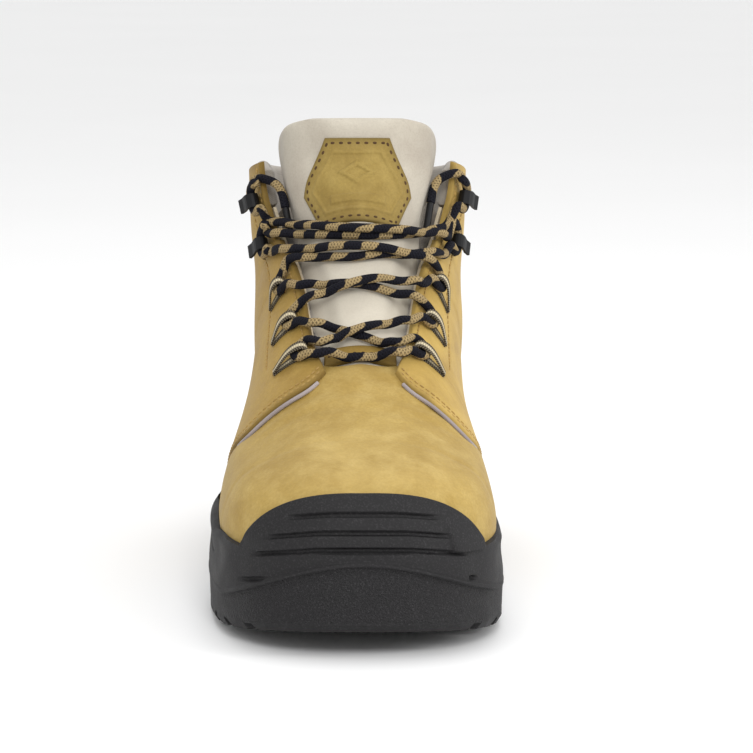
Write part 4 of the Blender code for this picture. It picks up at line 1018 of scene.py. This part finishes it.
def make_bumper():
    """Scuff cap round the toe: continues the midsole's wall up and over the toe dome."""
    low, high = BUMPER_LAYER
    lowest_t, end_t = BUMPER_T
    side = np.linspace(-1, 1, BUMPER_COLUMNS)
    reach = np.abs(side) * 0.96
    low_t = lowest_t + (end_t - lowest_t) * reach
    low_a = np.nan_to_num([a_at_height(t, lambda u: rim_height(u) + 0.1) for t in low_t])
    top_t, top_a = BUMPER_CREST + (end_t - BUMPER_CREST) * reach**2, BUMPER_END * reach
    q = crowded(BUMPER_ROWS, 0.05)[:, None]
    t = low_t + (top_t - low_t) * q
    a = np.sign(side) * (low_a + (top_a - low_a) * q)
    flat = base_point(t, a, low)
    left, right, below, top_side = border_distances(flat)
    lip = quarter_round(top_side, BUMPER_ROUND)
    flank = quarter_round(np.minimum(left, right), BUMPER_ROUND)
    outer = base_point(t, a, low + (high - low) * lip * flank)

    # Its foot lands on the wall's top, and the move fades out upwards.
    feet = outer[0].copy()
    outline = sole_ring(0, wall_foot)
    count = np.arange(len(outline))
    ring = interp_rows(np.arange(len(outline) * 30) / 30, count, outline[:, :2])
    near = ring[[np.argmin(np.sum((ring - foot[:2]) ** 2, axis=1)) for foot in feet]]
    target = feet.copy()
    target[:, :2] = near + unit(feet[:, :2] - near) * low
    target[:, 2] = rim_height(target[:, 1] + LENGTH / 2) - 0.05
    shift = target - feet
    for _ in range(FOOT_PASSES):
        shift[1:-1] = (shift[:-2] + 2 * shift[1:-1] + shift[2:]) / 4
    fade = 1 - smooth_step(below, 0, np.maximum(below[-1] * 0.55, 6.0))
    outer = outer + shift[None] * (fade * flank)[..., None]

    x, z = outer[..., 0], outer[..., 2]
    flash = FLASH_HEIGHT * np.exp(-((x - FLASH_X) / FLASH_HALF) ** 2)
    cut = groove_depth(x, z) - flash * smooth_step(FLASH_TOP - z, 0, 3)
    outer = outer - (base_point(t, a, low + 1) - flat) * (cut * lip)[..., None]
    outer[0, :] = np.where(flank[0][:, None] > 0, outer[0], flat[0])
    bottom = flat.copy()
    bottom[0], bottom[-1], bottom[:, 0], bottom[:, -1] = (
        outer[0], outer[-1], outer[:, 0], outer[:, -1])
    closed_patch("toe_bumper", "rubber", "rubber", outer, bottom, panel=0 * x)


# Upper.

PANEL, PANEL_ROUND = (0.1, 2.3), 0.9     # layer of the quarters, and radius of their edges
SEAMS = (2.3, 5.2)                       # stitch rows along a quarter's front edge
THROAT_SEAM = 3.6
STITCH, STITCH_LOW, STITCH_PITCH = (2.1, 0.75, 0.75), 2.2, 2.7
# The quarters' inner rows of stitches, as distances from the front centre line by t.
facing_line = curve(((0.55, 42), (0.62, 47), (0.70, 50), (0.80, 59), (0.92, 66), (0.985, 68)))
VAMP_FULL = 2.0                          # how much the vamp swells at its sides
CAP_T, CAP_HALF, CAP_DENT = 0.352, 0.006, 0.35       # dent along the steel cap's back edge
HEEL_LAYER = (2.35, 4.2)
# Share of a quarter's height by the share of its rows, so that the rows lie at even steps.
row_share = curve(((0, 0), (0.22, 0.30), (0.45, 0.50), (0.72, 0.64), (0.85, 0.78), (1, 1)))


def line_on(side, edge, distance, a_range):
    """(t, a) of a line a distance above a quarter's front edge."""
    a, step = np.linspace(*a_range, 200), 0.002
    t = edge(a)
    ahead = base_point(t + step, side * a, PANEL[1]) - base_point(t, side * a, PANEL[1])
    return t + distance * step / np.linalg.norm(ahead, axis=1), side * a


def quarter_region(side, p, q, depth=0.998):
    q = row_share(q)
    nominal = 0.506 + (COLLAR_T - 0.506) * q
    a_low = share(nominal, throat_edge(nominal))
    a = a_low + (depth - a_low) * (1 - (1 - p) ** 1.3)
    front = quarter_edge[side](a)
    return front + (COLLAR_T - front) * q, side * a


def stitch_groove(distance, where, depth=0.3, width=0.7):
    return -depth * np.exp(-((distance - where) / width) ** 2)


def vamp_relief(t, a, left, down, nearest):
    """The cap's dent, small creases behind it, and a swell where the vamp meets the rim."""
    side = np.abs(a)
    cap_edge = -CAP_DENT * np.exp(-((t - CAP_T) / CAP_HALF) ** 2)
    creases = 0.35 * np.sin((t - 0.40) * 190 + 1.3 * np.sin(a * 9)) * smooth_step(t, 0.40, 0.43)
    creases = creases * (1 - smooth_step(t, 0.47, 0.49)) * (1 - smooth_step(side, 0.3, 0.6))
    edge = np.where(a < 0, quarter_edge[-1](side), quarter_edge[1](side)) - 0.012
    full = smooth_step(side, 0.40, 0.60) * (1 - smooth_step(side, 0.80, 0.93))
    full = full * smooth_step(t, 0.16, 0.32) * (1 - smooth_step(t - edge, 0, 0.010))
    return cap_edge + creases + VAMP_FULL * full


# Pale patch over the vamp's middle: partly dust, partly a painted highlight.
def vamp_tints(t, a):
    return {"dust": 0.5 * np.exp(-((np.abs(a) - 0.12) / 0.3) ** 2 - ((t - 0.27) / 0.10) ** 2)}


def vamp_region(p, q):
    side = 2 * p - 1
    return 0.03 + (vamp_edge(np.abs(side)) - 0.03) * q, side


def make_quarter(side, word):
    """One quarter with its stitching and piping, and the tongue's gusset under it."""
    def relief(t, a, left, down, nearest):
        seams = sum(stitch_groove(down, where) for where in SEAMS)
        facing = stitch_groove(np.abs(a) * girth(t), facing_line(t), 0.35)
        return seams + stitch_groove(left, THROAT_SEAM) + facing * smooth_step(t, 0.55, 0.57)

    def tints(t, a):
        # The medial quarter is painted paler towards its front: painted light on the side that is
        # lit more, not dust.
        medial_painted_light = 0.8 if side > 0 else 0.0
        return {"dust": medial_painted_light * (1 - smooth_step(np.abs(a), 0.55, 0.85))}

    quarter, edge = "quarter_" + word, quarter_edge[side]
    patch(quarter, "nubuck", "nubuck", 120, 130, lambda p, q: quarter_region(side, p, q),
          PANEL, PANEL_ROUND, relief=relief, tints=tints)
    rows = []
    for distance in SEAMS:
        t, a = line_on(side, edge, distance, (0.155, 0.95))
        rows.append(surface_path(t, a, STITCH_LOW, STITCH_PITCH))
    up = np.linspace(0.53, 0.985, 200)
    throat = side * share(up, throat_edge(up) + THROAT_SEAM)
    rows.append(surface_path(up, throat, STITCH_LOW, STITCH_PITCH))
    up = np.linspace(0.56, 0.985, 160)
    facing = side * share(up, facing_line(up))
    rows.append(surface_path(up, facing, STITCH_LOW - 0.05, STITCH_PITCH))
    studs(quarter + "_stitching", "thread", "nubuck", rows, *STITCH)
    hem = [one_point(edge(a) - 0.004, side * a, 0.75) for a in np.linspace(0.17, 0.585, 12)]
    rope("quarter_piping_" + word, "piping", "piping", along_curve(hem, 1.5), 0.8, 12)

    def gusset_region(p, q):
        t = 0.58 + 0.30 * q
        return t, side * share(t, gusset_root(t) + 0.3 + 12 * p)

    patch("tongue_gusset_" + word, "lining", "lining", 8, 40, gusset_region, (-5.5, -4.7), 0.3,
          both=True, body=TONGUE_BODY)


def heel_region(p, q):
    """The heel cover, from just above the rim to a line that rises towards the back."""
    def heel_top(u):
        return 54 + 25.6 * smooth_step(u, 205, 265)

    side = 2 * p - 1
    back = 1 - np.abs(side)
    low_t, top_t = 0.70 + 0.135 * back, 0.715 + 0.161 * back
    low_a = np.nan_to_num([a_at_height(t, lambda u: rim_height(u) + 2) for t in low_t], nan=1)
    top_a = np.nan_to_num([a_at_height(t, heel_top) for t in top_t], nan=1)
    return low_t + (top_t - low_t) * q, np.where(side < 0, -1, 1) * (low_a + (top_a - low_a) * q)


def backstay_region(p, q):
    t = 0.883 + 0.107 * q
    return t, np.where(p < 0.5, -1, 1) * (1 - np.abs(2 * p - 1) * share(t, 9))


def collar_region(p, q):
    side = 2 * p - 1
    t = 0.90 + (0.12 - 0.035 * np.abs(side) ** 8) * q
    a_low = share(t, throat_edge(t) + 5)
    return t, np.where(side < 0, -1, 1) * (1 - np.abs(side) * (1 - a_low))


def make_upper():
    patch("vamp", "nubuck_light", "nubuck_light", 170, 110, vamp_region, (-1.8, 0.0), PANEL_ROUND,
          relief=vamp_relief, tints=vamp_tints)
    for side, word in SIDES:
        make_quarter(side, word)
    patch("heel_cover", "nubuck", "nubuck", 90, 30, heel_region, HEEL_LAYER, 1.0)
    patch("backstay", "nubuck", "nubuck", 24, 60, backstay_region, HEEL_LAYER, 1.0)
    pad = patch("collar_pad", "shaded_collar_cloth", "padding", 200, 44, collar_region, (-6.5, -0.6), 2.9,
                both=True)


# Tongue.

TONGUE_T, TONGUE_LAYER = (0.485, 1.1), (-11.8, -4.7)
TONGUE_RISE = 1.6        # how much the tongue puffs up between the throat edges
BADGE_T, BADGE_WIDTH = (0.752, 0.860, 1.05), (19, 27.5, 14.5)
BADGE_LOW = TONGUE_LAYER[1] + TONGUE_RISE + 0.05
BADGE_EDGE = 2                           # of its row of holes from the badge's edge
HOLE, HOLE_PITCH = (1.8, 1.1, 0.5), 3.5
STRIP_T, STRIP_HALF = (0.518, 0.542), 16
STRIP_HOLE, STRIP_PITCH = (1.5, 0.9, 0.5), 3.4


def over_tongue(span, width, p, q):
    """A region over the tongue: span is its t range, width its half width at t."""
    t = span[0] + (span[1] - span[0]) * q
    return t, share(t, width(t)) * (2 * p - 1)


def tongue_relief(t, a, left, down, nearest):
    puff = smooth_step(throat_edge(t) - np.abs(a) * girth(t), 5, 13)
    return TONGUE_RISE * puff * smooth_step(nearest, 0, 6)


# Painted shade on the tongue's sides, more on the lateral side and towards its top, and a painted
# highlight on its lower part between the laces.
def tongue_tints(t, a):
    across = a * girth(t)
    sides = smooth_step(np.abs(across), 24, 44) * np.where(across < 0, 0.42, 0.22)
    sides = sides + 0.08 * smooth_step(t, 0.96, 1.02)
    return {"shade": sides * smooth_step(t, 0.78, 0.90) * (1 - smooth_step(t, 1.06, 1.10)),
            "bright": 0.36 * (1 - smooth_step(t, 0.72, 0.80))}


def hexagon(p, q):
    t = np.interp(q, (0, 0.38, 1), BADGE_T)
    return t, share(t, np.interp(t, BADGE_T, BADGE_WIDTH)) * (2 * p - 1)


def badge_relief(t, a, left, down, nearest):
    """A raised border, a plain bar low down, and a diamond outline above it."""
    distance = np.abs(a * girth(t))
    border = 0.48 * smooth_step(1.0 - np.abs(nearest - 6.2), 0, 0.6)
    bar = smooth_step(np.minimum(13 - distance, 2.3 - np.abs(t - 0.822) * 140), 0, 0.8)
    reach = distance + np.abs(t - 0.925) * 150
    diamond = smooth_step(9 - reach, 0, 1.0) - smooth_step(5.5 - reach, 0, 1.0)
    return border + 0.65 * (bar + diamond)


def make_tongue():
    tongue = patch("tongue", "padding", "padding", 110, 160,
                   lambda p, q: over_tongue(TONGUE_T, tongue_side, p, q), TONGUE_LAYER, 3.4,
                   both=True, relief=tongue_relief, tints=tongue_tints, body=TONGUE_BODY)
    patch("tongue_badge", "nubuck_badge", "nubuck", 90, 110, hexagon,
          (BADGE_LOW, BADGE_LOW + 1.05), 0.7, relief=badge_relief, body=TONGUE_BODY)
    paths, top = [], BADGE_LOW + 1.0
    q = np.linspace(0.03, 0.97, 80)
    t, _ = hexagon(0 * q, q)
    half = np.interp(t, BADGE_T, BADGE_WIDTH) - BADGE_EDGE - 0.3
    for side in (-1, 1):
        paths.append(surface_path(t, share(t, half) * side, top, HOLE_PITCH))
    for k, inward in ((0, 0.014), (2, -0.014)):
        half = BADGE_WIDTH[k] - BADGE_EDGE
        paths.append(across_path(BADGE_T[k] + inward, half, 40, top, HOLE_PITCH))
    # The badge's stitch holes are raised dark marks of painted shade.
    studs("badge_stitch_holes", "hole", "nubuck", paths, *HOLE, body=TONGUE_BODY)
    patch("tongue_base_strip", "nubuck", "nubuck", 60, 14,
          lambda p, q: over_tongue(STRIP_T, lambda t: STRIP_HALF + 0 * t, p, q),
          (BADGE_LOW - 0.9, BADGE_LOW + 0.7), 0.7, body=TONGUE_BODY)
    row = across_path(sum(STRIP_T) / 2, STRIP_HALF - 1, 60, BADGE_LOW + 0.68, STRIP_PITCH)
    # The strip's stitch holes are raised dark marks of painted shade.
    studs("strip_stitch_holes", "hole", "nubuck", [row], *STRIP_HOLE, body=TONGUE_BODY)


def across_path(t, half, count, height, pitch):
    """A path straight across the tongue."""
    across = np.linspace(-half, half, count)
    return surface_path(0 * across + t, share(t, across), height, pitch)


# Lacing.

TAPE_HALF = 0.3
TAPE_LINE = (            # share of the way from outer root to inner root, height: the folded tape
    (-0.06, 2.65), (0.25, 2.6), (0.6, 2.6), (0.86, 2.75), (0.96, 3.6), (1.0, 5.2), (0.95, 6.9),
    (0.84, 7.5), (0.6, 7.0), (0.3, 5.2), (0.05, 3.7), (-0.06, 3.2),
)
LOOP_LENGTH = 20         # of a loop, for even steps along its tape
TIP, TIP_RADIUS = (0.4, 12), 1.5         # where the lace's tips begin and end


def make_loop(name, side, roots):
    line = along_curve([(r * LOOP_LENGTH, height, 0) for r, height in TAPE_LINE], 0.6)
    reach, height = line[:, 0] / LOOP_LENGTH, line[:, 1]
    frames = [loop_frame(side, roots, r) for r in reach]
    middle = np.array([on_frame(f, 0, 0, h) for f, h in zip(frames, height)])
    across = crowded(8, 0.12)
    width = LOOP_WIDTH * (0.82 + 0.3 * smooth_step(reach, 0, 0.8))
    swell = quarter_round(np.minimum(across, 1 - across) * LOOP_WIDTH, 0.4) * TAPE_HALF
    rise = np.array([f[2] for f in frames])
    normal = unit(np.cross(unit(np.gradient(middle, axis=0)), rise))
    grid = middle[:, None] + rise[:, None] * ((across - 0.5) * width[:, None])[..., None]
    top = grid + normal[:, None] * swell[None, :, None]
    bottom = grid - normal[:, None] * swell[None, :, None]
    top[0], bottom[0], top[-1], bottom[-1] = grid[0], grid[0], grid[-1], grid[-1]
    walk = walked(middle) * MM
    uvs = np.stack(np.broadcast_arrays(walk[:, None], across[None, :]), axis=2).reshape(-1, 2)
    closed_patch(name, "webbing", "webbing", top, bottom, uvs=uvs)


def make_lacing():
    for side, word in SIDES:
        for number, roots in enumerate(LOOPS[side], 1):
            make_loop(f"lace_loop_{word}_{number}", side, roots)
    points = along_curve(lace_points(), 0.9)
    rope("lace", "lace", "lace", points, LACE_RADIUS)
    for word, start, before in (("lateral", points[0], points[2]),
                                ("medial", points[-1], points[-3])):
        way = unit(start - before)
        rope(f"lace_tip_{word}", "black_metal", "black_metal",
             [start + way * d for d in np.linspace(*TIP, 14)], TIP_RADIUS, 14)


def finish_cad(name, look, bevel=0.0):
    """A piece that keeps its CAD shape takes a material, and rounded edges if asked."""
    piece = frame["nodes"][name]
    piece.data.materials.clear()
    piece.data.materials.append(LOOK[look])
    if bevel:
        edges = piece.modifiers.new("Rounded edges", "BEVEL")
        edges.width, edges.segments = bevel * MM, 2
        edges.limit_method, edges.angle_limit = "ANGLE", math.radians(40)
        edges.harden_normals = False


make_midsole()
make_bumper()
make_upper()
make_tongue()
make_lacing()
for name, look in (
        ("outsole", "rubber"), ("shank", "steel"), ("insole_board", "board"),
        ("footbed", "lining"), ("steel_toe_cap", "steel"), ("toe_cap_trim", "lining"),
        ("vamp_lining", "lining"), ("heel_stiffener", "board")):
    finish_cad(name, look)
for _, word in SIDES:
    finish_cad("quarter_lining_" + word, "lining")
    finish_cad("eyestay_stay_" + word, "board")
    for number in (1, 2):
        finish_cad(f"lace_hook_{word}_{number}", "black_metal", 0.25)
        finish_cad(f"hook_rivet_{word}_{number}", "steel", 0.15)


# Floor, light and camera.

WORLD_LIGHT, FLOOR_HALF = 0.92, 6.0
AIM = Vector((0, 0, 0.08))               # what the lamps point at
LAMPS = (                # place, size, power in watts
    ("key", (0.15, -1.5, 1.0), (0.5, 0.5), 10),
    ("side", (1.4, -0.5, 0.6), (0.4, 0.5), 7),
    ("top", (0.0, 0.3, 1.5), (0.9, 0.9), 5),
)
ELEVATION, DISTANCE, LENS, SENSOR = math.radians(8.5), 1.5, 174.6, 36
VIEW_CENTRE = Vector((0.0087, 0, 0.08457))


def add_object(name, data):
    made = bpy.data.objects.new(name, data)
    bpy.context.scene.collection.objects.link(made)
    return made


mesh = bpy.data.meshes.new("floor")
corners = [(x * FLOOR_HALF, y * FLOOR_HALF, 0) for x, y in ((-1, -1), (1, -1), (1, 1), (-1, 1))]
mesh.from_pydata(corners, [], [(0, 1, 2, 3)])
s = Shader("floor", 0.7)
s.colour(s.mix(s.noise(3, 3, 0.5), (0.90, 0.90, 0.90), (0.93, 0.93, 0.93)))
mesh.materials.append(s.material)
add_object("floor", mesh)

world = bpy.data.worlds.new("studio")
bpy.context.scene.world = world
world.use_nodes = True
world.node_tree.nodes["Background"].inputs["Color"].default_value = (1, 1, 1, 1)
world.node_tree.nodes["Background"].inputs["Strength"].default_value = WORLD_LIGHT

for name, where, size, power in LAMPS:
    light = bpy.data.lights.new(name, "AREA")
    light.shape, light.size, light.size_y, light.energy = "RECTANGLE", *size, power
    lamp = add_object(name, light)
    lamp.location = where
    lamp.rotation_euler = (AIM - Vector(where)).to_track_quat("-Z", "Y").to_euler()

forward = Vector((0, math.cos(ELEVATION), -math.sin(ELEVATION)))
camera = add_object("camera", bpy.data.cameras.new("camera"))
camera.data.lens, camera.data.sensor_width = LENS, SENSOR
camera.data.clip_start, camera.data.clip_end = 0.05, 50
camera.location = VIEW_CENTRE - forward * DISTANCE
camera.rotation_euler = forward.to_track_quat("-Z", "Y").to_euler()
bpy.context.scene.camera = camera
bpy.context.scene.view_settings.view_transform = "Standard"
